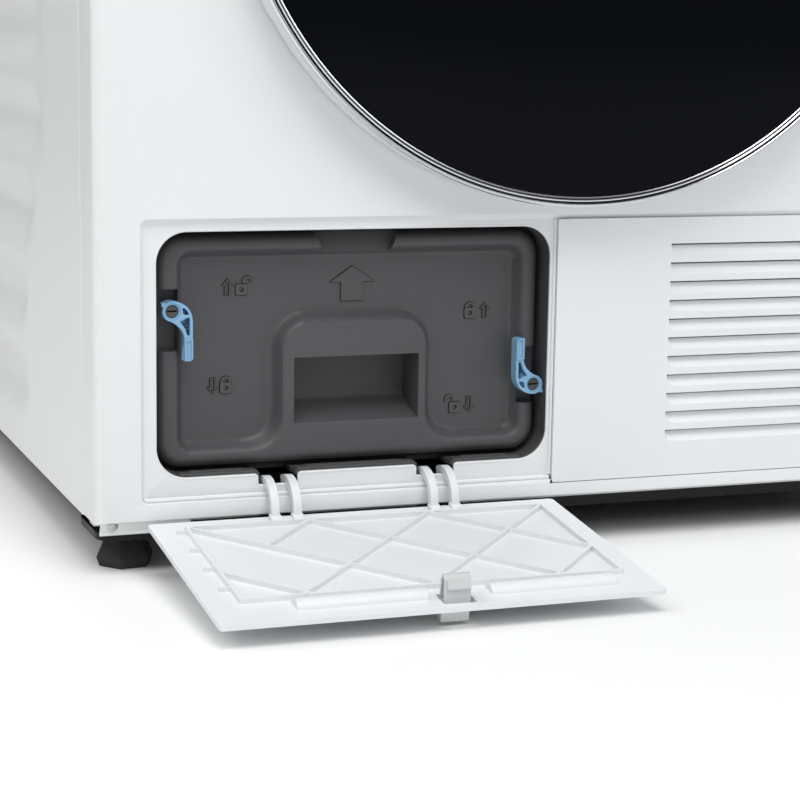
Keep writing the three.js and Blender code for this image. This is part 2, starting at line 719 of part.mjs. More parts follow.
function makeLifter(index) {
  const base = drum.radius - drum.wall - 3;
  const outline = new THREE.Shape([
    new THREE.Vector2(-26, -base), new THREE.Vector2(26, -base),
    new THREE.Vector2(8, -base + 48), new THREE.Vector2(-8, -base + 48),
  ]);
  const mesh = named(`drum_lifter_${index + 1}`, prism('XZ', outline, drum.front + 30, drum.back - 40), whitePlastic);
  mesh.position.z = drum.z;
  mesh.rotation.y = (index * 2 * Math.PI) / 3 + 0.35;
  return mesh;
}

function makeDrumShaft() {
  return join(
    rod('y', 50, [0, drum.z], drum.back + gap, drum.back + 4, 32),
    rod('y', 12, [0, drum.z], drum.back - 12, drum.back + 44, 24));
}

function makeMotor() {
  const { x, z, radius, front, back } = motor;
  const body = rod('y', radius, [x, z], front, back, 28);
  const cradle = slab(x - 40, x + 40, front + 20, back - 20, baseFrame.bottom + 5.4, z - 20);
  return cut(join(body, cradle), rod('y', 5.4, [x, z], front - 1, back + 1, 16));
}

function makeMotorShaft() {
  const { x, z, pulley, beltY, beltWidth } = motor;
  return join(
    rod('y', 5, [x, z], 112, beltY + 12, 16),
    rod('y', pulley, [x, z], beltY - beltWidth, beltY + beltWidth, 24));
}

// The belt runs round the drum and the motor pulley on their common outer tangents.
function beltOutline(extra) {
  const big = drum.radius + extra;
  const small = motor.pulley + extra;
  const dx = motor.x;
  const dz = motor.z - drum.z;
  const heading = Math.atan2(dz, dx);
  const spread = Math.acos((big - small) / Math.hypot(dx, dz));
  const shape = new THREE.Shape();
  shape.absarc(0, drum.z, big, heading + spread, heading - spread + 2 * Math.PI, false);
  shape.absarc(motor.x, motor.z, small, heading - spread, heading + spread, false);
  return shape;
}

function makeBelt() {
  const half = motor.beltWidth / 2;
  const y0 = motor.beltY - half;
  const y1 = motor.beltY + half;
  return cut(
    prism('XZ', beltOutline(3), y0, y1, 24),
    prism('XZ', beltOutline(1.4), y0 - 1, y1 + 1, 24));
}

const idler = { x: 175, z: 178, radius: 15 };

function makeIdler() {
  return turned([
    [4, motor.beltY - 7], [idler.radius, motor.beltY - 7], [idler.radius, motor.beltY + 7],
    [4, motor.beltY + 7], [4, motor.beltY - 7],
  ], 0, 0, 28);
}

function makeFanHousing() {
  const { x, z } = motor;
  return cut(
    slab(x - 84, x + 84, 60, 150, z - 64, z + 84),
    rod('y', 62, [x, z + 6], 63, 147, 40),
    rod('y', 40, [x, z], 59, 64, 32),
    rod('y', 8, [x, z], 146, 151, 16),
    slab(x - 85, x - 20, 70, 140, z + 30, z + 62));
}

function makeImpeller() {
  const { x, z } = motor;
  const blades = [];
  const count = 12;
  for (let i = 0; i < count; i += 1) {
    const blade = new THREE.BoxGeometry(22, 44, 1.8);
    blade.rotateY(0.6).translate(42, 0, 0).rotateY((i * 2 * Math.PI) / count);
    blades.push(toSolid(blade.translate(x, 104, z)));
  }
  const hub = rod('y', 9, [x, z], 106, 132, 20);
  const disc = rod('y', 54, [x, z], 124, 128, 32);
  return cut(join(disc, hub, ...blades), rod('y', 5.4, [x, z], 100, 134, 16));
}

function makeCompressor() {
  return join(
    rod('z', 55, [205, 457], 62, 205, 28),
    rod('z', 44, [205, 457], 200, 222, 24),
    rod('z', 66, [205, 457], baseFrame.bottom + 5.4, 66, 24));
}

// ---- controls, tank and filter ------------------------------------------------------
const controls = { z: (fasciaBottom + topUnderside) / 2, back: 20 };
const display = { left: 62, right: 172, half: 17 };
const buttons = [
  { name: 'option_button_1', x: 192, radius: 7 },
  { name: 'option_button_2', x: 214, radius: 7 },
  { name: 'start_button', x: 240, radius: 10 },
  { name: 'power_button', x: 272, radius: 11 },
];
const buttonTravel = 1.5;

function makeFascia() {
  const body = cut(
    prism('XY', wrapOutline(0, frontReturn), fasciaBottom, topUnderside - gap),
    slab(-halfWidth + 2 * sheet, halfWidth - 2 * sheet, controls.back, frontReturn + 1, fasciaBottom - 1, topUnderside));
  const bay = slab(tank.left - gap, tank.right + gap, -1, controls.back + 1, fasciaBottom + 4, topUnderside - 4);
  const screen = slab(display.left - gap, display.right + gap, -1, 4, controls.z - display.half - gap,
    controls.z + display.half + gap);
  const holes = buttons.map((button) => rod('y', button.radius + gap, [button.x, controls.z], -1, 8, 20));
  const stems = buttons.map((button) => rod('y', 3.4, [button.x, controls.z], 5, controls.back + 1, 10));
  return cut(body, bay, screen, ...holes, ...stems,
    rod('y', 4.4, [knob.x, controls.z], -1, controls.back + 1, 16));
}

function makeButton({ name, x, radius }) {
  const cap = rod('y', radius, [x, controls.z], -buttonTravel - 0.3, 5.5, 20);
  return named(name, join(cap, rod('y', 3, [x, controls.z], 5, controls.back + 3, 10)), paleClip);
}

function makeKnob() {
  const { x, radius, depth: reach } = knob;
  return join(
    turned([[0, -reach], [radius - 2, -reach], [radius, -0.5], [0, -0.5]], x, controls.z, 32),
    rod('y', 4, [x, controls.z], -1, controls.back + 4, 16),
    slab(x - 1.2, x + 1.2, -reach - 0.8, -reach + 1, controls.z + 12, controls.z + 24));
}

function makeTankFront() {
  const { left, right } = tank;
  const plate = slab(left, right, -0.5, controls.back, fasciaBottom + 4 + gap, topUnderside - 4 - gap);
  const grip = slab(left + 60, right - 60, -1, 14, fasciaBottom + 3, fasciaBottom + 26);
  return cut(plate, grip);
}

function makeTank() {
  const { left, right, inset } = tank;
  const wall = 3;
  const [x0, x1, y0, y1] = [left + inset, right - inset, controls.back + gap, 430];
  const [z0, z1] = [762, topUnderside - 8];
  return cut(
    slab(x0, x1, y0, y1, z0, z1),
    slab(x0 + wall, x1 - wall, y0 + wall, y1 - wall, z0 + wall, z1 - wall),
    slab(x0 + wall, x1 - wall, y1 - 40, y1 - wall, z1 - 5, z1 + 1));
}

function makeLintFilter() {
  const top = 268;
  const frame = slab(-86, 86, 16, 34, 210, top);
  const pocket = slab(-80, 80, 20, 30, 214, top + 1);
  const screens = slab(-74, 74, 15, 35, 218, 256);
  const mesh = [0.25, 0.5, 0.75].map((share) => slab(
    -74 + 148 * share - 2, -74 + 148 * share + 2, 16, 34, 216, 258));
  return join(cut(frame, pocket, screens), ...mesh.map((bar) => cut(bar, pocket)));
}

// ---- the whole machine --------------------------------------------------------------
const drive = [
  named('drum', makeDrum(), steel),
  ...[0, 1, 2].map(makeLifter),
  named('drum_shaft', makeDrumShaft(), steel),
  named('drive_motor', makeMotor(), galvanised),
  named('motor_shaft', makeMotorShaft(), steel),
  named('drive_belt', makeBelt(), rubber),
  named('fan_housing', makeFanHousing(), darkPlastic),
  named('fan_impeller', makeImpeller(), whitePlastic),
  named('compressor', makeCompressor(), blackPlastic),
];
const idlerPulley = named('idler_pulley', makeIdler(), whitePlastic);
idlerPulley.position.set(idler.x, 0, idler.z);

const heatExchanger = [
  named('exchanger_housing', makeHousing(), darkPlastic),
  named('exchanger_cover', makeCover(), darkPlastic),
  named('cover_gasket', makeGasket(), rubber),
  named('evaporator_coil', makeCoil(70, 180), aluminium),
  named('condenser_coil', makeCoil(200, 340), aluminium),
  named('condensate_pump', join(slab(30, 84, 440, 500, 60, 112), rod('z', 18, [57, 470], 110, 140, 20)), whitePlastic),
  makeLeverAssembly(-1, 'left'),
  makeLeverAssembly(1, 'right'),
];

const controlPanel = [
  named('control_fascia', makeFascia(), white),
  named('display_window', slab(display.left, display.right, 0.2, 3.6,
    controls.z - display.half, controls.z + display.half), darkGlass),
  named('control_board', slab(54, 290, controls.back + 8, controls.back + 10,
    fasciaBottom + 12, topUnderside - 12), copperBoard),
  named('program_knob', makeKnob(), chrome),
  ...buttons.map(makeButton),
  named('tank_front', makeTankFront(), white),
  named('water_tank', makeTank(), tankPlastic),
  named('lint_filter', makeLintFilter(), whitePlastic),
];

const dryer = assembly(
  cabinet,
  named('vent_grille', makeGrille(), whitePlastic),
  makeFlapAssembly(),
  hingeX.map((x, i) => named(`flap_pin_${['left', 'right'][i]}`, makeFlapPin(x), steel)),
  heatExchanger,
  assembly(makeDoor()),
  named('door_seal', makeDoorSeal(), rubber),
  named('door_hinge_bracket', makeHingeBracket(), steel),
  drive,
  idlerPulley,
  controlPanel,
);

// The origin is on the floor, under the middle of the footprint with the flap open.
const footprint = new THREE.Box3().setFromObject(dryer);
dryer.position.y = -(footprint.min.y + footprint.max.y) / 2;

export default dryer;
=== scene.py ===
"""A heat-pump clothes dryer seen low from its left front corner, its service flap open.

Every shape is worked out in the machine's own frame, in millimetres: x runs to the right
from the middle of the front, y runs inward from the front panel's plane, and z is the
height above the floor.
"""
import json
import math

import bmesh
import bpy
import numpy as np
from mathutils import Matrix, Vector


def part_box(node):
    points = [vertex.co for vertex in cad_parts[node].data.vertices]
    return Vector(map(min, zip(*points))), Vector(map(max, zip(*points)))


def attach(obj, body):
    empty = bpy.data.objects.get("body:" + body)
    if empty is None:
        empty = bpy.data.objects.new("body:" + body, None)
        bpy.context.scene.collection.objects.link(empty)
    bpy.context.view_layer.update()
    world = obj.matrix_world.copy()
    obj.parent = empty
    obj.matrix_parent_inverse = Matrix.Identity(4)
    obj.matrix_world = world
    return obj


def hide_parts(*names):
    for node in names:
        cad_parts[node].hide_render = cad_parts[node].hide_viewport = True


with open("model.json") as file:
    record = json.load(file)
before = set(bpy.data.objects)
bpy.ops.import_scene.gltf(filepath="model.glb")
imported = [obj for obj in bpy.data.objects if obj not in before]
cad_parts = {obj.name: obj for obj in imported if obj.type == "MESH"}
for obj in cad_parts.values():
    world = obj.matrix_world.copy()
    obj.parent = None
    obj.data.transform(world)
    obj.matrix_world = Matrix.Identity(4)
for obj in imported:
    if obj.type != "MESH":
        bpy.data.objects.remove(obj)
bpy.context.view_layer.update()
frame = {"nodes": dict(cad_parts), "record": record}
nodes = frame["nodes"]

MM = 0.001
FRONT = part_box("front_panel")[0][1]
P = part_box("base_frame")[0][2] / MM + 12    # the front panel's lower edge
DOOR_Z = 448.0


# ---- camera -----------------------------------------------------------------------------
CAMERA_PLACE = (-558.5, -1209.9, 320.9)
CAMERA_YAW = math.radians(20.3165)
CAMERA_PITCH = math.radians(9.7367)
CAMERA_ROLL = math.radians(-0.9156)
CAMERA_LENS = 95.975


def at(x, y, z):
    """A point of the machine's frame, in metres in the row frame."""
    return Vector((x * MM, y * MM + FRONT, z * MM))


def add_camera():
    yaw, pitch, roll = CAMERA_YAW, CAMERA_PITCH, CAMERA_ROLL
    ahead = Vector((math.sin(yaw) * math.cos(pitch), math.cos(yaw) * math.cos(pitch), -math.sin(pitch)))
    level = Vector((math.cos(yaw), -math.sin(yaw), 0))
    down = ahead.cross(level)
    right = math.cos(roll) * level + math.sin(roll) * down
    up = math.sin(roll) * level - math.cos(roll) * down
    data = bpy.data.cameras.new("camera")
    data.sensor_width = 36
    data.lens = CAMERA_LENS
    camera = bpy.data.objects.new("camera", data)
    turn = Matrix((right, up, -ahead)).transposed().to_4x4()
    camera.matrix_world = Matrix.Translation(at(*CAMERA_PLACE)) @ turn
    bpy.context.scene.collection.objects.link(camera)
    bpy.context.scene.camera = camera


# ---- materials --------------------------------------------------------------------------
def shader(name, **values):
    """A new material, its node tree and its Principled shader."""
    material = bpy.data.materials.new(name)
    material.use_nodes = True
    tree = material.node_tree
    principled = tree.nodes["Principled BSDF"]
    for socket, value in values.items():
        principled.inputs[socket.replace("_", " ")].default_value = value
    return material, tree, principled


def noise(tree, scale, detail=3.0, roughness=0.5):
    """Noise laid out by the object's own coordinates, which here are metres."""
    place = tree.nodes.new("ShaderNodeTexCoord")
    texture = tree.nodes.new("ShaderNodeTexNoise")
    texture.inputs["Scale"].default_value = scale
    texture.inputs["Detail"].default_value = detail
    texture.inputs["Roughness"].default_value = roughness
    tree.links.new(place.outputs["Object"], texture.inputs["Vector"])
    return texture.outputs["Fac"]


def spread(tree, value, low, high):
    """value, from 0.3 to 0.7, stretched to run from low to high."""
    stretch = tree.nodes.new("ShaderNodeMapRange")
    stretch.inputs["From Min"].default_value = 0.3
    stretch.inputs["From Max"].default_value = 0.7
    stretch.inputs["To Min"].default_value = low
    stretch.inputs["To Max"].default_value = high
    tree.links.new(value, stretch.inputs["Value"])
    return stretch.outputs["Result"]


def blend_colours(tree, value, first, second):
    """first where value is 0, second where it is 1, and a mix between."""
    mix = tree.nodes.new("ShaderNodeMix")
    mix.data_type = "RGBA"
    mix.inputs["A"].default_value = (*first, 1)
    mix.inputs["B"].default_value = (*second, 1)
    tree.links.new(value, mix.inputs["Factor"])
    return mix.outputs["Result"]


def bump(tree, principled, height, distance):
    node = tree.nodes.new("ShaderNodeBump")
    node.inputs["Strength"].default_value = 1.0
    node.inputs["Distance"].default_value = distance
    tree.links.new(height, node.inputs["Height"])
    tree.links.new(node.outputs["Normal"], principled.inputs["Normal"])


def surface(name, colour, roughness, vary=0.03, grain=900, grain_depth=0.00002, patch=9,
            rough_spread=0.06, **values):
    """A surface whose colour and gloss drift a little, with a fine grain."""
    material, tree, principled = shader(name, **values)
    drift = noise(tree, patch)
    light = tuple(min(1, c * (1 + vary)) for c in colour)
    dark = tuple(c * (1 - vary) for c in colour)
    tint = blend_colours(tree, spread(tree, drift, 0, 1), dark, light)
    tree.links.new(tint, principled.inputs["Base Color"])
    gloss = spread(tree, noise(tree, patch * 5), roughness - rough_spread / 2, roughness + rough_spread / 2)
    tree.links.new(gloss, principled.inputs["Roughness"])
    bump(tree, principled, noise(tree, grain, 2), grain_depth)
    return material


MATERIALS = {
    "painted_steel": surface("white_enamel", (0.80, 0.815, 0.82), 0.34, 0.01, 700, 0.00001),
    "white_plastic": surface("white_plastic", (0.79, 0.815, 0.83), 0.42, 0.012, 1200, 0.00001),
    "dark_plastic": surface("dark_grey_plastic", (0.070, 0.070, 0.074), 0.5, 0.05, 1500, 0.00003),
    "black_plastic": surface("black_plastic", (0.008, 0.008, 0.008), 0.5, 0.1, 1500, 0.00003,
                             Specular_IOR_Level=0.25),
    "blue_plastic": surface("blue_plastic", (0.22, 0.42, 0.62), 0.38, 0.03, 1200, 0.00001),
    "grey_plastic": surface("light_grey_plastic", (0.60, 0.62, 0.62), 0.25, 0.02, 1200, 0.000005),
    "chrome": surface("chrome", (0.78, 0.79, 0.82), 0.09, 0.01, 800, 0.000002, rough_spread=0.04,
                      Metallic=1.0),
    "dark_glass": surface("black_glass", (0.0022, 0.0026, 0.004), 0.05, 0.05, 60, 0.0000005,
                          rough_spread=0.02, Specular_IOR_Level=0.06),
    "clear_glass": surface("smoked_glass", (0.02, 0.022, 0.028), 0.06, 0.05, 60, 0.0000005,
                           rough_spread=0.02),
    "steel": surface("stainless_steel", (0.55, 0.55, 0.55), 0.3, 0.04, 1000, 0.000005, Metallic=1.0),
    "galvanised": surface("galvanised_steel", (0.52, 0.53, 0.54), 0.42, 0.1, 300, 0.00001, 40, Metallic=1.0),
    "aluminium": surface("aluminium", (0.68, 0.69, 0.70), 0.36, 0.05, 900, 0.00001, Metallic=1.0),
    "circuit_board": surface("circuit_board", (0.02, 0.12, 0.05), 0.45, 0.15, 700, 0.00002),
    "rubber": surface("rubber", (0.02, 0.02, 0.02), 0.65, 0.15, 1300, 0.00004),
    "tank_plastic": surface("tank_plastic", (0.62, 0.66, 0.68), 0.45, 0.03, 1300, 0.00002),
}


# ---- shape helpers ----------------------------------------------------------------------
def new_piece(name, shape_of, body, slot, *replaced):
    """A piece from (points in the machine's millimetres, faces), riding on body."""
    points, faces = shape_of
    mesh = bpy.data.meshes.new(name)
    mesh.from_pydata([at(*point) for point in points], [], faces)
    shape = bmesh.new()
    shape.from_mesh(mesh)
    bmesh.ops.remove_doubles(shape, verts=shape.verts, dist=0.000002)
    bmesh.ops.dissolve_degenerate(shape, edges=shape.edges, dist=0.000001)
    bmesh.ops.recalc_face_normals(shape, faces=shape.faces)
    shape.to_mesh(mesh)
    shape.free()
    mesh.materials.append(MATERIALS[slot])
    piece = bpy.data.objects.new(name, mesh)
    bpy.context.scene.collection.objects.link(piece)
    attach(piece, body)
    if replaced:
        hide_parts(*replaced)
    return piece


def smooth(piece, angle=32):
    """Smooth shading that stays sharp at edges steeper than angle."""
    for polygon in piece.data.polygons:
        polygon.use_smooth = True
    split = piece.modifiers.new("edges", "EDGE_SPLIT")
    split.split_angle = math.radians(angle)


def rounded(piece, width, segments=2):
    """Edges steeper than 30 degrees rounded by width, in mm."""
    bevel = piece.modifiers.new("bevel", "BEVEL")
    bevel.width = width * MM
    bevel.segments = segments
    bevel.limit_method = "ANGLE"
    bevel.angle_limit = math.radians(30)
    bevel.harden_normals = True
    for polygon in piece.data.polygons:
        polygon.use_smooth = True


def ease(share):
    """0 to 1 with a soft start and a soft end."""
    share = np.clip(share, 0, 1)
    return share * share * (3 - 2 * share)


def lines(start, end, step, fine=(), fine_step=0.5, reach=2.0):
    """Grid lines from start to end, closer together around each place named in fine."""
    places = set(np.round(np.arange(start, end, step), 3)) | {start, end}
    for place in fine:
        near = np.arange(-reach, reach + fine_step / 2, fine_step) + place
        places |= set(np.round(near[(near > start) & (near < end)], 3))
    ordered = sorted(places)
    kept = [ordered[0]]
    for place in ordered[1:]:
        if place - kept[-1] > 0.08:
            kept.append(place)
    return np.array(kept)


def box_distance(x, z, left, right, bottom, top, radius):
    """Signed distance to a rounded rectangle: negative inside."""
    dx = np.abs(x - (left + right) / 2) - (right - left) / 2 + radius
    dz = np.abs(z - (bottom + top) / 2) - (top - bottom) / 2 + radius
    outside = np.hypot(np.maximum(dx, 0), np.maximum(dz, 0))
    return outside + np.minimum(np.maximum(dx, dz), 0) - radius


def soft_minimum(first, second, width):
    """The smaller of two distances, with the corner between them filled in."""
    share = np.maximum(width - np.abs(first - second), 0) / width
    return np.minimum(first, second) - share * share * width / 4


def relief(xs, zs, warp, front, back, clip):
    """A plate whose front and back are height fields over (x, z), cut to the clip outline.

    clip gives the signed distance to the outline; grid points just outside it move onto it.
    """
    grid_x, grid_z = np.meshgrid(xs, zs, indexing="ij")
    x, z = warp(grid_x, grid_z)
    gap = clip(x, z)
    nudge = 0.01
    slope_x = (clip(x + nudge, z) - clip(x - nudge, z)) / (2 * nudge)
    slope_z = (clip(x, z + nudge) - clip(x, z - nudge)) / (2 * nudge)
    outside = np.maximum(gap, 0)
    x = x - slope_x * outside
    z = z - slope_z * outside
    inside = gap < 0
    keep = inside[:-1, :-1] | inside[1:, :-1] | inside[:-1, 1:] | inside[1:, 1:]
    y_front = front(x, z)
    y_back = back(x, z)
    across, along = x.shape
    index = np.arange(across * along).reshape(across, along)
    points = [(a, b, c) for a, b, c in zip(x.ravel(), y_front.ravel(), z.ravel())]
    points += [(a, b, c) for a, b, c in zip(x.ravel(), y_back.ravel(), z.ravel())]
    behind = across * along
    faces = []
    edges = {}
    for i, j in zip(*np.nonzero(keep)):
        ring = (int(index[i, j]), int(index[i + 1, j]), int(index[i + 1, j + 1]), int(index[i, j + 1]))
        faces.append(ring)
        faces.append(tuple(corner + behind for corner in reversed(ring)))
        for a, b in zip(ring, ring[1:] + ring[:1]):
            if (b, a) in edges:
                del edges[(b, a)]
            else:
                edges[(a, b)] = True
    faces += [(b, a, a + behind, b + behind) for a, b in edges]
    return used(points, faces)


def used(points, faces):
    """The same faces with the points that none of them uses left out."""
    order = {}
    for face in faces:
        for corner in face:
            order.setdefault(corner, len(order))
    return [points[corner] for corner in order], [[order[corner] for corner in face] for face in faces]


def filled(outline, y, holes):
    """A bmesh filled at y inside an outline in (x, z), with holes cut out of it, and its faces."""
    shape = bmesh.new()
    loops = []
    for ring in (outline, *holes):
        corners = [shape.verts.new((x, y, z)) for x, z in ring]
        loops += [shape.edges.new((a, b)) for a, b in zip(corners, corners[1:] + corners[:1])]
    made = bmesh.ops.triangle_fill(shape, use_beauty=True, use_dissolve=False, edges=loops)
    return shape, [face for face in made["geom"] if isinstance(face, bmesh.types.BMFace)]


def unpacked(shape):
    """A bmesh as (points, faces), after which it is freed."""
    shape.verts.index_update()
    points = [tuple(vertex.co) for vertex in shape.verts]
    faces = [[vertex.index for vertex in face.verts] for face in shape.faces]
    shape.free()
    return points, faces


def prism(outline, y0, y1, holes=()):
    """An outline in (x, z) extruded from y0 to y1; holes are outlines cut out of it."""
    shape, faces = filled(outline, y0, holes)
    raised = bmesh.ops.extrude_face_region(shape, geom=faces)
    moved = [vertex for vertex in raised["geom"] if isinstance(vertex, bmesh.types.BMVert)]
    bmesh.ops.translate(shape, verts=moved, vec=(0, y1 - y0, 0))
    bmesh.ops.dissolve_limit(shape, angle_limit=0.001, verts=shape.verts, edges=shape.edges)
    return unpacked(shape)


def flat(outline, y, holes=()):
    """A flat face at y inside an outline in (x, z), with holes cut out of it."""
    return unpacked(filled(outline, y, holes)[0])


def level(outline, y):
    """An outline in (x, z) as points at y."""
    return [(x, y, z) for x, z in outline]


def loft(rings):
    """Faces between closed rings of (x, y, z) points, each with the same count."""
    points = [point for ring in rings for point in ring]
    count = len(rings[0])
    faces = []
    for start in range(0, count * (len(rings) - 1), count):
        for i in range(count):
            j = (i + 1) % count
            faces.append((start + i, start + j, start + count + j, start + count + i))
    return points, faces


def offset(outline, distance):
    """An anticlockwise outline grown by distance."""
    count = len(outline)
    grown = []
    for k, (x, z) in enumerate(outline):
        before, after = outline[k - 1], outline[(k + 1) % count]
        a = Vector((x - before[0], z - before[1])).normalized()
        b = Vector((after[0] - x, after[1] - z)).normalized()
        side = Vector(((a + b).y, -(a + b).x)).normalized()
        reach = distance / max(0.35, side.dot(Vector((a.y, -a.x))))
        grown.append((x + side.x * reach, z + side.y * reach))
    return grown


def box(x0, x1, y0, y1, z0, z1):
    """A square-cornered block."""
    return prism([(x0, z0), (x1, z0), (x1, z1), (x0, z1)], y0, y1)


def arc(cx, cz, radius, start, end, count):
    """Points round an arc, angles in degrees from +x towards +z."""
    angles = [math.radians(start + (end - start) * step / count) for step in range(count + 1)]
    return [(cx + radius * math.cos(angle), cz + radius * math.sin(angle)) for angle in angles]


def rounded_box(left, right, bottom, top, radius, count=6):
    """The outline of a rectangle with round corners, anticlockwise."""
    return (arc(right - radius, top - radius, radius, 0, 90, count)
            + arc(left + radius, top - radius, radius, 90, 180, count)
            + arc(left + radius, bottom + radius, radius, 180, 270, count)
            + arc(right - radius, bottom + radius, radius, 270, 360, count))


def lathe(profile, x, z, segments=128, gaps=()):
    """A closed (radius, y) profile turned about the line through (x, z) along y.

    gaps are pairs of step numbers between which the ring is cut away.
    """
    points = []
    for step in range(segments):
        angle = 2 * math.pi * step / segments
        points += [(x + r * math.cos(angle), y, z + r * math.sin(angle)) for r, y in profile]
    count = len(profile)
    faces = []
    for step in range(segments):
        if any(first <= step < last for first, last in gaps):
            continue
        here, there = step * count, (step + 1) % segments * count
        for k in range(count):
            nxt = (k + 1) % count
            faces.append((here + k, here + nxt, there + nxt, there + k))
    for step in (end for pair in gaps for end in pair):
        faces.append(tuple(step * count + k for k in range(count)))
    return used(points, faces)


def combine(*shapes):
    """Several shapes as one."""
    points, faces = [], []
    for more_points, more_faces in shapes:
        start = len(points)
        points += more_points
        faces += [[corner + start for corner in face] for face in more_faces]
    return points, faces


# ---- exchanger cover --------------------------------------------------------------------
COVER_LEFT, COVER_RIGHT = -260.6, -12.6
COVER_BOTTOM, COVER_TOP = P + 27.2, P + 169.7
COVER_RADIUS = 16.7
COVER_MIDDLE = -134.6
FIELD = 24.0
FIELD_BACK = 36.0
RIDGE = 9.6
RIDGE_SLOPE = 6.6
EDGE_ROLL = 7.0
FOOT = (-241.6, -29.0, P + 43.1, P + 153.9, 4.0)    # left, right, bottom, top, corner radius
BUMP = (-187.0, -82.6, P - 40, P + 120.6, 23.0)
BUMP_FLARE = 20.0
WELL = (-174.2, -93.2, P + 52.4, P + 93.0)
WELL_DEPTH = 29.0
WELL_RAMP = 9.0
NOTCHES = ((-262.0, -246.3, P + 99.6, P + 136.8), (-25.4, -10.0, P + 58.6, P + 94.5))
LATCH_LEFT, LATCH_RIGHT, LATCH_SLANT = -158.3, -110.6, 3.0
LATCH_BOTTOM, LATCH_MIDDLE, LATCH_HALF = P + 145, P + 162, 8.0


def latch_slide(z):
    """How far each side of the latch notch leans outward at the height z."""
    return LATCH_SLANT * np.clip((z - LATCH_MIDDLE) / LATCH_HALF, -1, 1)


def cover_height(x, z):
    """How far the cover stands out of its field, in mm; negative in the handle well."""
    rim_in = box_distance(x, z, *FOOT)
    bump_in = -box_distance(x, z, *BUMP)
    inner = -soft_minimum(-rim_in, -bump_in, BUMP_FLARE)
    from_edge = -box_distance(x, z, COVER_LEFT, COVER_RIGHT, COVER_BOTTOM, COVER_TOP, COVER_RADIUS)
    roll = np.sqrt(1 - (1 - np.clip(from_edge / EDGE_ROLL, 0, 1)) ** 2)
    height = RIDGE * ease(inner / RIDGE_SLOPE) * roll
    slide = latch_slide(z)
    in_latch = (x > LATCH_LEFT - slide) & (x < LATCH_RIGHT + slide) & (z > LATCH_BOTTOM)
    height = np.where(in_latch, np.minimum(height, 0.8 + from_edge * 0.28), height)
    for left, right, bottom, top in NOTCHES:
        in_notch = (x > left) & (x < right) & (z > bottom) & (z < top)
        height = np.where(in_notch, np.minimum(height, 1.0), height)
    left, right, bottom, top = WELL
    in_well = (x > left) & (x < right) & (z > bottom) & (z < top)
    ramp = np.clip((z - bottom) / WELL_RAMP, 0, 1.4)
    depth = WELL_DEPTH * (1 - soft_corner(1 - ramp))
    return np.where(in_well, RIDGE - 0.6 - depth, height)


def soft_corner(value):
    """value above 0 and 0 below, with a rounded bend between."""
    return (value + np.sqrt(value * value + 0.06)) / 2


def cover_warp(x, z):
    """Slants the grid lines that follow the latch notch's two sides."""
    slide = latch_slide(z) * ease((z - P - 135) / 15)
    near_left = np.exp(-(((x - LATCH_LEFT) / 7) ** 2))
    near_right = np.exp(-(((x - LATCH_RIGHT) / 7) ** 2))
    return x + slide * (near_right - near_left), z


def add_cover():
    """The cover's moulded face, with its handle well, its rim and a notch for each lever."""
    left, right, bottom, top = WELL
    walls_x = [left, right, LATCH_LEFT, LATCH_RIGHT, NOTCHES[0][1], NOTCHES[1][0]]
    walls_z = [bottom, top] + [edge for notch in NOTCHES for edge in notch[2:]]
    xs = lines(COVER_LEFT, COVER_RIGHT, 1.5, walls_x, 0.25, 0.5)
    zs = lines(COVER_BOTTOM, COVER_TOP, 1.5, walls_z, 0.25, 0.5)

    def back(x, z):
        in_box = (x > left - 3) & (x < right + 3) & (z > bottom - 3) & (z < top + 3)
        return np.where(in_box, FIELD + WELL_DEPTH - 6, FIELD_BACK)

    shape = relief(
        xs, zs, cover_warp,
        lambda x, z: FIELD - cover_height(x, z), back,
        lambda x, z: box_distance(x, z, COVER_LEFT, COVER_RIGHT, COVER_BOTTOM, COVER_TOP, COVER_RADIUS))
    smooth(new_piece("exchanger_cover_moulded", shape, "cover", "dark_plastic", "exchanger_cover"), 38)


def arrow_outline(x, z, half_head, half_shaft, head, length, up=1):
    """An arrow with its tip at (x, z), pointing up (1) or down (-1)."""
    points = [(0, 0), (half_head, -head), (half_shaft, -head), (half_shaft, -length),
              (-half_shaft, -length), (-half_shaft, -head), (-half_head, -head)]
    return [(x + a, z + up * b) for a, b in (reversed(points) if up > 0 else points)]


def stroke(outline, width, y0, y1):
    """A closed line of that width along an anticlockwise outline."""
    return prism(outline, y0, y1, (offset(outline, -width),))


def padlock(x, z, side, y0, y1, grow=0.0):
    """A padlock 7 mm wide standing on (x, z); side shifts its shackle when it is open."""
    outline = rounded_box(x - 3.6 - grow, x + 3.6 + grow, z - grow, z + 6.6 + grow, 0.9, 3)
    keyhole = arc(x, z + 3.3, 1.5 - grow, 0, 330, 11)
    lift = 0.9 if side else -0.4
    middle, foot = x + 3.6 * side, z + 7.4 + lift
    start, end = (-25, 190) if side > 0 else (-10, 205) if side < 0 else (-10, 190)
    band = arc(middle, foot, 3.2 + grow, start, end, 12)
    inside = arc(middle, foot, 1.9 - grow, start, end, 12)
    return combine(prism(outline, y0, y1, (keyhole,)), prism(band + inside[::-1], y0, y1))


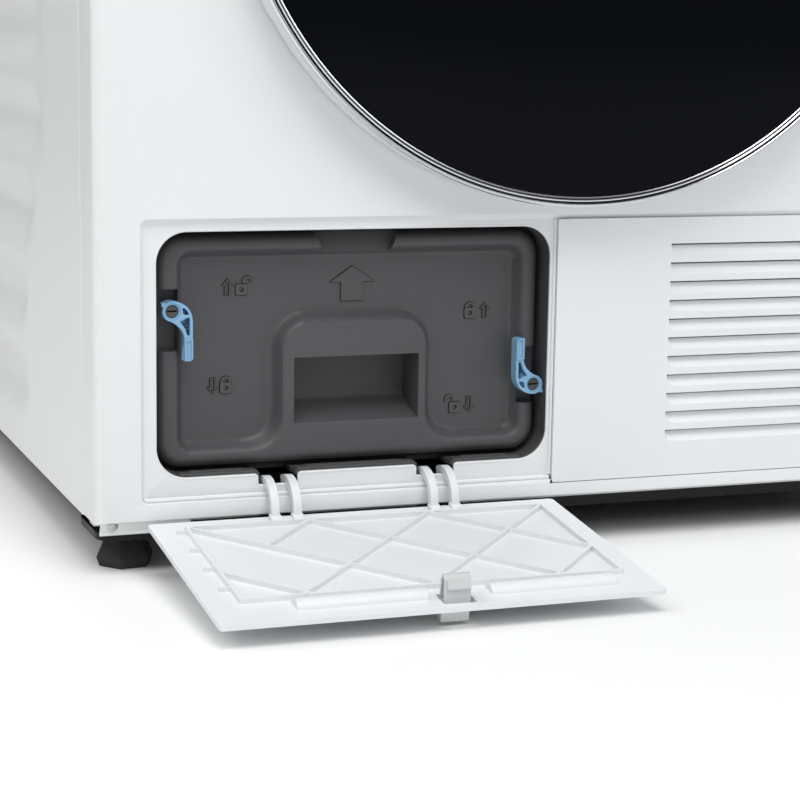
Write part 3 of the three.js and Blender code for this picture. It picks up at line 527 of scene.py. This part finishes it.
def add_cover_marks():
    """Moulded arrows and padlocks, each ringed by a thin black sheet on the field that paints its shadow
    outline.
    """
    crest, floor, shadow_width = FIELD - 1.0, FIELD + 0.3, 0.4
    big = arrow_outline(COVER_MIDDLE, P + 147.2, 14.2, 7.2, 9.6, 21.2)
    shapes = [prism(big, crest, floor)]
    # the black rings round each mark are painted shadow outlines, thin sheets laid on the field
    black_inlays_and_painted_shadows = [prism(offset(big, shadow_width), FIELD - 0.06, floor)]
    marks = (
        (-213.9, P + 140.9, 1, -205.1, P + 131.1, 1),
        (-222.9, P + 71.4, -1, -214.7, P + 71.5, 0),
        (-45.9, P + 122.1, 1, -56.1, P + 112.5, 0),
        (-55.4, P + 52.8, -1, -65.2, P + 52.8, -1),
    )
    for arrow_x, arrow_z, up, lock_x, lock_z, side in marks:
        outline = arrow_outline(arrow_x, arrow_z, 3.2, 1.7, 3.6, 9.6, up)
        shapes.append(stroke(outline, 0.7, crest + 0.1, floor))
        shapes.append(padlock(lock_x, lock_z, side, crest, floor))
        black_inlays_and_painted_shadows.append(stroke(offset(outline, shadow_width), 0.7 + 2 * shadow_width, FIELD - 0.06, floor))
        black_inlays_and_painted_shadows.append(padlock(lock_x, lock_z, side, FIELD - 0.06, floor, shadow_width))
    rounded(new_piece("exchanger_cover_marks", combine(*shapes), "cover", "dark_plastic"), 0.2, 2)
    # painted shadow outlines round the marks, in black
    rounded(new_piece("exchanger_cover_mark_painted_shadows", combine(*black_inlays_and_painted_shadows), "cover", "black_plastic"), 0.03, 1)


# ---- front panel ------------------------------------------------------------------------
PANEL_HALF = 300.0
PANEL_CORNER = 6.0
PANEL_RETURN = 35.7
PANEL_SHEET = 1.2
PANEL_BOTTOM = P - 0.8
FLANGE_DEPTH, FLANGE_GAP = 18.0, 10.6
DOOR_OPENING = 172.0
HOOK_SLOT = (-214, -196, DOOR_Z - 10, DOOR_Z + 10)
GRILLE_OPENING = (50, 262, P + 30, P + 166)
RECESS_LEFT, RECESS_RIGHT = -272.9, 271.8
RECESS_BOTTOM, RECESS_TOP = P + 10.3, P + 179.8
RECESS_FOOT = P + 8.3
RECESS_DEPTH = 3.4
SHELF = 1.8
SPLIT = -6.9
OPENING_LEFT, OPENING_RIGHT = -262.4, -10.8
OPENING_BOTTOM, OPENING_TOP = P + 24.8, P + 171.5
OPENING_RADIUS = 18.5
POCKET_HALF, POCKET_FLOOR = 12.3, P + 18.1
HINGES = [(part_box(pin)[0][0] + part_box(pin)[1][0]) / 2 / MM for pin in ("flap_pin_left", "flap_pin_right")]
BEAD = ((1.9, 3.4), (1.6, 3.25), (1.15, 3.08), (0.65, 3.08), (0.25, 3.35), (0.05, 3.8), (0.0, 4.9))


def recess_outline(share, rise=0.0):
    """The edge of the flap's and the grille's recess, from the panel's face (0) to its floor (1).

    rise lifts its lower edge, for the flat shelf between the two small steps there.
    """
    left, right = RECESS_LEFT + 3.0 * share, RECESS_RIGHT - 0.6 * share
    bottom, top = RECESS_BOTTOM + 1.4 * share + rise, RECESS_TOP - 3.8 * share
    foot = RECESS_FOOT + 0.3 * share
    radius = 4.0 - 1.6 * share
    return ([(SPLIT, bottom), (SPLIT, foot)]
            + arc(right - 1, foot + 1, 1, 270, 360, 4)
            + arc(right - radius, top - radius, radius, 0, 90, 8)
            + arc(left + radius, top - radius, radius, 90, 180, 8)
            + arc(left + radius, bottom + radius, radius, 180, 270, 8))


def opening_outline():
    """The service opening, with a pocket for each pair of hinge arms in its lower edge."""
    left, right, radius, bend = OPENING_LEFT, OPENING_RIGHT, OPENING_RADIUS, 2.6
    bottom, top = OPENING_BOTTOM, OPENING_TOP
    points = arc(left + radius, bottom + radius, radius, 180, 270, 16)
    for x in HINGES:
        points += arc(x - POCKET_HALF - bend, bottom - bend, bend, 90, 0, 5)
        points += arc(x - POCKET_HALF + 1, POCKET_FLOOR + 1, 1, 180, 270, 3)
        points += arc(x + POCKET_HALF - 1, POCKET_FLOOR + 1, 1, 270, 360, 3)
        points += arc(x + POCKET_HALF + bend, bottom - bend, bend, 180, 90, 5)
    points += arc(right - radius, bottom + radius, radius, 270, 360, 16)
    points += arc(right - radius, top - radius, radius, 0, 90, 16)
    points += arc(left + radius, top - radius, radius, 90, 180, 16)
    return points


def panel_edge(turn, top):
    """The panel's outline where its rolled edge has turned by so many degrees."""
    side = PANEL_CORNER * (1 - math.sin(math.radians(turn)))
    x = PANEL_HALF - side
    z0, z1 = PANEL_BOTTOM + side * 0.3, top - side * 0.15
    y = PANEL_CORNER * (1 - math.cos(math.radians(turn)))
    return level([(-x, z0), (x, z0), (x, z1), (-x, z1)], y)


def add_front_panel():
    """The pressed front: face, rolled edge, stepped recess, beaded opening and flanges."""
    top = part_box("front_panel")[1][2] / MM
    face = [(x, z) for x, y, z in panel_edge(0, top)]
    door_hole = arc(0, DOOR_Z, DOOR_OPENING, 0, 356.25, 95)
    hook_slot = rounded_box(*HOOK_SLOT, 2, 3)
    opening = opening_outline()
    shapes = [
        flat(face, 0, (recess_outline(0), door_hole, hook_slot)),
        loft([panel_edge(turn, top) for turn in range(0, 91, 6)]),
        flat(recess_outline(1, SHELF), RECESS_DEPTH,
             (offset(opening, BEAD[0][0]), rounded_box(*GRILLE_OPENING, 2, 2))),
        loft([level(offset(opening, out), y) for out, y in BEAD]),
    ]
    steps = [(share, 0) for share in (0, 0.06, 0.15, 0.3, 0.5)]
    steps += [(share, SHELF) for share in (0.5, 0.7, 0.85, 0.94, 1)]
    shapes.append(loft([level(recess_outline(share, rise), RECESS_DEPTH * (share + float(ease(share))) / 2)
                        for share, rise in steps]))
    for x in (-PANEL_HALF, PANEL_HALF):
        wall = [(x, PANEL_CORNER, PANEL_BOTTOM), (x, PANEL_RETURN, PANEL_BOTTOM),
                (x, PANEL_RETURN, top), (x, PANEL_CORNER, top)]
        shapes.append((wall, [[0, 1, 2, 3]]))
    gap_ends = [x + reach for x in HINGES for reach in (-FLANGE_GAP, FLANGE_GAP)]
    flange_ends = [-PANEL_HALF, *gap_ends, PANEL_HALF]
    for x0, x1 in zip(flange_ends[::2], flange_ends[1::2]):
        corners = ((x0, PANEL_CORNER), (x1, PANEL_CORNER), (x1, FLANGE_DEPTH), (x0, FLANGE_DEPTH))
        flange = [(x, y, PANEL_BOTTOM) for x, y in corners]
        shapes.append((flange, [[0, 1, 2, 3]]))
    panel = new_piece("front_panel_pressed", combine(*shapes), "cabinet", "painted_steel", "front_panel")
    if sum(polygon.normal.y * polygon.area for polygon in panel.data.polygons) > 0:
        panel.data.flip_normals()
    smooth(panel, 40)
    thick = panel.modifiers.new("sheet", "SOLIDIFY")
    thick.thickness = PANEL_SHEET * MM
    thick.offset = -1
    weigh = panel.modifiers.new("weigh", "WEIGHTED_NORMAL")
    weigh.keep_sharp = True


def add_panel_details():
    """The low ridge beside the grille, and the sloped tab under each lower corner."""
    shapes = [box(-9.0, -7.2, 1.9, 4.2, P + 13.8, P + 175.6)]
    tab = [(1.4, P + 0.4), (4.4, P - 6.4), (3.4, P - 6.9), (4.9, P - 8.2), (6.0, P - 7.4), (2.8, P + 0.4)]
    for side in (-1, 1):
        x0, x1 = sorted((side * 242, side * 297))
        shapes.append(loft([[(x0, y, z) for y, z in tab], [(x1, y, z) for y, z in tab]]))
        shapes += [([(x, y, z) for y, z in tab], [list(range(len(tab)))]) for x in (x0, x1)]
    rounded(new_piece("front_panel_details", combine(*shapes), "cabinet", "painted_steel"), 0.4)


def add_housing_ledges():
    """The housing's lower edge, seen just above the opening's on either side of the arms."""
    ends = [-248.0, *(x + reach for x in HINGES for reach in (-12.6, 12.6)), -28.0]
    shapes = []
    for x0, x1 in zip(ends[::2], ends[1::2]):
        shapes.append(box(x0, x1, 5.4, 13.4, P + 22.5, P + 26.6))
        shapes.append(box(x0 + 7, x1 - 7, 8.6, 13.4, P + 26.0, P + 27.1))
    rounded(new_piece("housing_ledges", combine(*shapes), "cabinet", "dark_plastic"), 0.4)


SCREW_PLACE = (-289.6, 2.9, P - 2.0)
SCREW_LEAN = math.atan2(3.7, 8)


def add_panel_screw():
    """A half-hidden screw on the tab under the left corner."""
    head = lathe([(0.3, -1.5), (2.2, -1.4), (3.2, -0.8), (3.5, 0), (3.5, 1.6), (0.3, 1.6)], 0, 0, 32)
    middle_x, middle_y, middle_z = SCREW_PLACE
    cosine, sine = math.cos(SCREW_LEAN), math.sin(SCREW_LEAN)
    points = [(x + middle_x, middle_y + y * cosine - z * sine, middle_z + y * sine + z * cosine)
              for x, y, z in head[0]]
    smooth(new_piece("panel_screw_headed", (points, head[1]), "cabinet", "steel", "panel_screw"), 40)


# ---- vent grille ------------------------------------------------------------------------
LOUVRE_LEFT, LOUVRE_RIGHT = 72.0, 252.0
LOUVRE_FIRST, LOUVRE_LAST = P + 159.2, P + 38.7
LOUVRE_COUNT = 11
LOUVRE_REACH = 7.5
LOUVRE_END = 5.5
LOUVRE_DEPTH = 4.4
LOUVRE_SLOT = 1.2
LOUVRE_TOPS = [LOUVRE_FIRST + (LOUVRE_LAST - LOUVRE_FIRST) * k / (LOUVRE_COUNT - 1)
               for k in range(LOUVRE_COUNT)]


def louvre_depth(x, z):
    """How deep the grille's face lies at (x, z): a scoop under each slot."""
    depth = np.zeros_like(x)
    from_end = np.minimum(x - LOUVRE_LEFT, LOUVRE_RIGHT - x)
    tail = np.clip(1 - from_end / LOUVRE_END, 0, 1)
    reach = LOUVRE_REACH * np.sqrt(1 - tail * tail)
    for top in LOUVRE_TOPS:
        share = (top - z) / np.maximum(reach, 0.01)
        inside = (share > 0) & (share < 1) & (from_end > 0)
        scoop = LOUVRE_DEPTH * (1 - share ** 1.25)
        slot = (top - z < LOUVRE_SLOT) & (reach > LOUVRE_SLOT + 0.4)
        depth = np.where(inside, np.where(slot, 12.0, scoop), depth)
    return depth


def add_grille():
    left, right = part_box("vent_grille")[0][0] / MM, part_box("vent_grille")[1][0] / MM
    bottom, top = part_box("vent_grille")[0][2] / MM, P + 176.0
    ends = [LOUVRE_LEFT, LOUVRE_RIGHT]
    end_steps = [LOUVRE_LEFT + share * LOUVRE_END for share in (0.05, 0.12, 0.22, 0.35, 0.5, 0.7, 1)]
    end_steps += [LOUVRE_RIGHT - (place - LOUVRE_LEFT) for place in end_steps]
    xs = np.unique(np.round([left, right, 0, 30, 66, 100, 140, 180, 220, 258, *end_steps,
                             *(end + shift for end in ends for shift in (-0.1, 0.05))], 3))
    steps = (-0.1, 0.08, 1.12, 1.28, 1.8, 2.6, 3.4, 4.2, 5.0, 5.8, 6.5, 7.1, 7.5, 7.9)
    zs = np.unique(np.round([bottom, bottom + 3, top, top - 3,
                             *(louvre - step for louvre in LOUVRE_TOPS for step in steps)], 3))

    def back(x, z):
        deep = (x > 66) & (x < 258) & (z > LOUVRE_LAST - 12) & (z < LOUVRE_FIRST + 6)
        return np.where(deep, 13.5, 3.0)

    shape = relief(
        xs, zs, lambda x, z: (x, z), louvre_depth, back,
        lambda x, z: box_distance(x, z, left, right, bottom, top, 0.8) - 0.001)
    smooth(new_piece("vent_grille_moulded", shape, "cabinet", "white_plastic", "vent_grille"), 40)


# ---- side panels ------------------------------------------------------------------------
WAVE_PITCH = 61.5
WAVE_DEPTH = 10.0
WAVE_CREST = 139.0
WAVE_START, WAVE_SWEEP = 205.0, 60.0


def emboss(y, z, low, high):
    """How far the waves on a side panel sink, in mm, at y inward and z up."""
    wave = 0.5 - 0.5 * np.cos(2 * math.pi * (z - WAVE_CREST) / WAVE_PITCH)
    reach = WAVE_START - WAVE_SWEEP * np.clip((z - 140) / 110, 0, 1) ** 1.4
    ends = ease((z - low) / 40) * ease((high - z) / 60)
    return WAVE_DEPTH * (1 - wave) * ease((y - reach) / 65) * ease((560 - y) / 40) * ends


def add_side_panel(side):
    name = "left_side_panel" if side < 0 else "right_side_panel"
    low, high = (Vector(corner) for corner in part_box(name))
    front, back = (low.y - FRONT) / MM, (high.y - FRONT) / MM
    bottom, top = low.z / MM, high.z / MM
    outer = max(abs(low.x), abs(high.x)) / MM
    lip = (high.x - low.x) / MM
    fold = 2.2

    def sink(y, z):
        inset = np.minimum(y - front, back - y)
        share = np.clip(1 - inset / fold, 0, 1)
        edge = fold * (1 - np.sqrt(1 - share * share))
        return emboss(y, z, bottom, top) + np.where(inset < 0.005, lip, edge)

    steps = [fold * share for share in (0.004, 0.06, 0.2, 0.45, 0.7, 1)]
    ys = sorted({front, back, *np.arange(front + 8, back - 8, 8.0),
                 *(front + step for step in steps), *(back - step for step in steps)})
    zs = lines(bottom, top, 6.0)
    points, faces = relief(
        np.array(ys), zs, lambda y, z: (y, z), sink, lambda y, z: sink(y, z) + 1.5,
        lambda y, z: np.maximum(np.abs(y - (front + back) / 2) - (back - front) / 2 - 0.001,
                                np.abs(z - (bottom + top) / 2) - (top - bottom) / 2 - 0.001))
    points = [(side * (outer - inset), y, z) for y, inset, z in points]
    smooth(new_piece(name + "_embossed", (points, faces), "cabinet", "painted_steel", name), 40)


# ---- door -------------------------------------------------------------------------------
GLASS_RADIUS = 222.8
GLASS_RIM, GLASS_CROWN, GLASS_BACK = -24.6, -31.0, -18.0
KNUCKLE_GAPS = ((7, 10), (182, 185))    # steps of 1.875 degrees, where the hinge knuckles stand


def add_door():
    """The chrome ring with its two dark inlaid channels, and the domed glass inside it."""
    ring = [(229.4, -19.0), (230.0, -19.6), (230.0, -23.4), (229.7, -24.3), (229.0, -24.9), (228.3, -24.9),
            (227.9, -24.5), (227.8, -22.4), (226.7, -22.4), (226.6, -24.3), (226.3, -24.7), (225.8, -24.8),
            (225.3, -24.5), (225.2, -23.0), (224.6, -23.0), (224.5, -24.2), (224.2, -24.5), (223.7, -24.4),
            (223.3, -24.0), (223.2, -19.0)]
    chrome = lathe(ring, 0, DOOR_Z, 192, KNUCKLE_GAPS)
    smooth(new_piece("door_ring_chrome", chrome, "door", "chrome", "chrome_ring"), 35)
    black_inlays_and_painted_shadows = [lathe([(inner, -22.0), (outer, -22.0), (outer, y), (inner, y)], 0, DOOR_Z, 192, KNUCKLE_GAPS)
               for inner, outer, y in ((226.75, 227.75, -23.0), (224.62, 225.18, -23.4))]
    smooth(new_piece("door_ring_grooves", combine(*black_inlays_and_painted_shadows), "door", "black_plastic"), 35)
    crown = [(GLASS_RADIUS * k / 14, GLASS_CROWN + (GLASS_RIM - GLASS_CROWN) * (k / 14) ** 2.4)
             for k in range(15)]
    crown[0] = (0.4, GLASS_CROWN)
    glass = lathe(crown + [(GLASS_RADIUS, GLASS_BACK), (0.4, GLASS_BACK)], 0, DOOR_Z, 192)
    smooth(new_piece("door_glass_domed", glass, "door", "dark_glass", "door_glass"), 35)


# ---- levers -----------------------------------------------------------------------------
def curve(start, first, second, end, count=8):
    """Points along a cubic curve, without its start."""
    found = []
    for step in range(1, count + 1):
        t = step / count
        weights = ((1 - t) ** 3, 3 * t * (1 - t) ** 2, 3 * t * t * (1 - t), t ** 3)
        found.append(tuple(sum(w * point[k] for w, point in zip(weights, (start, first, second, end)))
                           for k in (0, 1)))
    return found


def lever_shape():
    """The lever about its pivot: a ringed boss, two sunk pockets, and an arm with a thicker end."""
    boss, hole, near, far, reach = 6.0, 4.1, 7.2, 12.4, 29.7
    front, pocket = 8.5, 11.7
    outline = [(0, boss)]
    outline += curve((0, boss), (far * 0.55, boss), (far, 1.5), (far, -6.5), 12)
    outline += arc(far - 2, 2 - reach, 2, 0, -90, 5)
    outline += [(near, -reach), (near, -16.5)]
    outline += curve((near, -16.5), (near, -12), (4, -8), (-2, 0.5 - boss), 10)
    outline += arc(0, 0, boss, 255, 100, 16)
    bore = arc(0, 0, hole, 0, 345, 23)
    trough = arc(0, 0, boss - 0.8, 0, 345, 23)
    lower = [(4.6, -5.9), (7.4, -4.6), (9.9, -3.4), (10.7, -4.6), (10.7, -14.5), (9.0, -14.5), (7.6, -10.2)]
    upper = [(5.9, 2.0), (7.4, 1.9), (9.2, 0.1), (10.2, -1.8), (8.4, -2.4), (6.5, -1.4)]
    thumb = [(near, -16.5), (far, -16.5), *arc(far - 2, 2 - reach, 2, 0, -90, 5), (near, -reach)]
    inlay = [(near + 1, -17.5), (far - 1, -17.5), (far - 1, 1 - reach), (near + 1, 1 - reach)]
    return combine(
        prism(outline, front, pocket, (trough, lower, upper)),
        prism(outline, pocket, front + 8, (bore,)),
        prism(trough, front + 0.7, pocket + 0.2, (bore,)),
        prism(thumb, front - 0.9, front + 0.1, (inlay,)),
        prism([(-6.4, 2.8), (-3.9, 2.8), (-3.9, 5.2), (-6.4, 5.2)], front + 0.3, front + 6),
        lathe([(boss, 16), (boss, 19.6), (hole, 19.6), (hole, 16)], 0, 0, 24))


def add_levers():
    """The two locking levers, half a turn apart, and a slotted screw in each."""
    points, faces = lever_shape()
    head = arc(0, 0, 3.9, 0, 345, 23)
    slot = [(-3, -0.5), (3, -0.5), (3, 0.5), (-3, 0.5)]
    for side, turn in (("left", 1), ("right", -1)):
        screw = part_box("lever_screw_" + side)
        x, z = ((screw[0][k] + screw[1][k]) / 2 / MM for k in (0, 2))
        moved = [(x + turn * a, b, z + turn * c) for a, b, c in points]
        name = "lever_" + side
        rounded(new_piece(name + "_moulded", (moved, faces), name, "blue_plastic", name), 0.35, 2)
        top = [(x + a, z + b) for a, b in head]
        cut = [(x + a, z + b) for a, b in slot]
        shape = combine(prism(top, 10.4, 12, (cut,)), prism(top, 12, 21.5))
        screw_name = "lever_screw_" + side
        rounded(new_piece(screw_name + "_slotted", shape, "cover", "dark_plastic", screw_name), 0.3, 2)


# ---- rear and controls ------------------------------------------------------------------
REAR_FACE = 592.5
REAR_SLOTS = range(90, 260, 14)
REAR_SLOT_HALF, REAR_SLOT_BOTTOM, REAR_SLOT_TOP, REAR_SLOT_RIM = 3.0, 96.0, 168.0, 1.4


def screw_head(x, z, radius=4.0):
    """A round-headed screw, its head towards the back, with a raised black cross on its crown that paints the
    shade of a cross recess.
    """
    bar = (1.9, 0.45)
    dome = [(0.2, REAR_FACE - 0.2), (radius, REAR_FACE - 0.2), (radius, REAR_FACE + 0.6),
            (radius * 0.72, REAR_FACE + 1.6), (0.2, REAR_FACE + 1.9)]
    return lathe(dome, x, z, 20), [box(x - a, x + a, REAR_FACE + 1.7, REAR_FACE + 2.1, z - b, z + b)
                                   for a, b in (bar, bar[::-1])]


def rear_slot(x, grow, count):
    """The outline of a cooling slot centred on x and grown on all sides."""
    half = REAR_SLOT_HALF + grow
    return rounded_box(x - half, x + half, REAR_SLOT_BOTTOM - grow, REAR_SLOT_TOP + grow, half, count)


def add_rear_details():
    """Screws round the rear panel, and low on it a row of raised rims, each round a flat black patch that
    paints the shade inside a cooling slot.
    """
    low, high = 62.0, 816.0
    places = [(x, z) for x in (-289, 289) for z in np.linspace(low, high, 7)]
    places += [(x, z) for x in (-145, 0, 145) for z in (low, high)]
    heads, painted_cross_shade = [], []
    for x, z in places:
        # the black cross on each head is painted shade of a recess
        head, cross = screw_head(x, float(z))
        heads.append(head)
        painted_cross_shade += cross
    smooth(new_piece("rear_screws", combine(*heads), "cabinet", "steel"), 35)
    # flat black patches on the rear face: painted shade of each slot's dark inside, with no hole cut
    painted_slot_shade = [prism(rear_slot(x, 0, 5), REAR_FACE - 0.1, REAR_FACE + 0.15) for x in REAR_SLOTS]
    new_piece("rear_painted_slot_and_screw_shade", combine(*painted_slot_shade, *painted_cross_shade), "cabinet", "black_plastic")
    rims = [prism(rear_slot(x, REAR_SLOT_RIM, 6), REAR_FACE - 0.1, REAR_FACE + 0.9, (rear_slot(x, 0, 5),))
            for x in REAR_SLOTS]
    rounded(new_piece("rear_slot_rims", combine(*rims), "cabinet", "galvanised"), 0.3, 2)


def add_control_details():
    """A collar and dial ticks round the knob, and a thin bezel round the display."""
    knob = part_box("program_knob")
    x, z = ((knob[0][k] + knob[1][k]) / 2 / MM for k in (0, 2))
    collar = lathe([(27.6, 0.2), (27.6, -1.6), (28.4, -2.2), (30.2, -2.2), (31, -1.2), (31, 0.2)], x, z, 96)
    smooth(new_piece("knob_collar", collar, "cabinet", "grey_plastic"), 35)
    ticks = []
    for step in range(12):
        angle = math.radians(15 + 30 * step)
        ticks.append(lathe([(0.1, -0.35), (0.9, -0.35), (0.9, 0.2), (0.1, 0.2)],
                           x + 35.5 * math.sin(angle), z + 35.5 * math.cos(angle), 16))
    new_piece("knob_ticks", combine(*ticks), "cabinet", "dark_plastic")
    low, high = (Vector(corner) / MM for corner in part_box("display_window"))
    hole = rounded_box(low.x + 0.6, high.x - 0.6, low.z + 0.6, high.z - 0.6, 1.5, 4)
    rim = rounded_box(low.x - 1.8, high.x + 1.8, low.z - 1.8, high.z + 1.8, 3, 4)
    rounded(new_piece("display_bezel", prism(rim, -0.7, 0.4, (hole,)), "cabinet", "grey_plastic"), 0.3, 2)


# ---- carried-over nodes -----------------------------------------------------------------
def soften(piece, width):
    """Welds a node's split edges, rounds its sharp ones by width (mm), and shades it smooth."""
    weld = piece.modifiers.new("weld", "WELD")
    weld.merge_threshold = 0.000004
    rounded(piece, width)
    weigh = piece.modifiers.new("weigh", "WEIGHTED_NORMAL")
    weigh.weight = 100


def dress_nodes():
    """Gives each node of the frame its material and softened edges."""
    slot_of = {part["node"]: part["material_slot"] for part in frame["record"]["subparts"]}
    for name, piece in nodes.items():
        material = MATERIALS[slot_of[name]]
        piece.data.materials.clear()
        piece.data.materials.append(material)
        soften(piece, 0.6)


# ---- studio -----------------------------------------------------------------------------
def add_floor():
    bpy.ops.mesh.primitive_plane_add(size=30)
    floor = bpy.context.object
    floor.name = "floor"
    material, _, principled = shader("floor", Roughness=0.9)
    principled.inputs["Base Color"].default_value = (0.93, 0.93, 0.93, 1)
    floor.data.materials.append(material)


def add_light(name, place, target, size, power, colour=(1, 1, 1)):
    data = bpy.data.lights.new(name, "AREA")
    data.shape = "RECTANGLE"
    data.size, data.size_y = size
    data.energy = power
    data.color = colour
    light = bpy.data.objects.new(name, data)
    light.location = place
    aim = Vector(target) - Vector(place)
    light.rotation_euler = aim.to_track_quat("-Z", "Y").to_euler()
    bpy.context.scene.collection.objects.link(light)


def add_studio():
    add_floor()
    world = bpy.data.worlds.new("world")
    world.use_nodes = True
    world.node_tree.nodes["Background"].inputs["Color"].default_value = (1, 1, 1, 1)
    world.node_tree.nodes["Background"].inputs["Strength"].default_value = 0.28
    bpy.context.scene.world = world
    bpy.context.scene.view_settings.view_transform = "Standard"
    add_light("top", (-0.5, -1.8, 3.1), (0, -0.2, 0.2), (2.2, 2.2), 72.0)
    add_light("front", (0.2, -3.6, 2.4), (0, -0.2, 0.3), (2.4, 1.4), 15.0)
    add_light("left", (-2.5, -1.3, 2.5), (-0.3, 0, 0.3), (1.2, 1.2), 14.0)
    add_light("fill", (-2.2, 0.7, 2.5), (-0.4, 0.2, 0), (1.6, 1.6), 19.0)
    add_light("right", (2.9, -2.2, 1.6), (0, -0.3, 0.3), (1.2, 1.8), 18.0, (0.9, 0.95, 1))


add_camera()
dress_nodes()
add_cover()
add_cover_marks()
add_front_panel()
add_panel_details()
add_housing_ledges()
add_panel_screw()
add_grille()
for side in (-1, 1):
    add_side_panel(side)
add_door()
add_levers()
add_rear_details()
add_control_details()
add_studio()
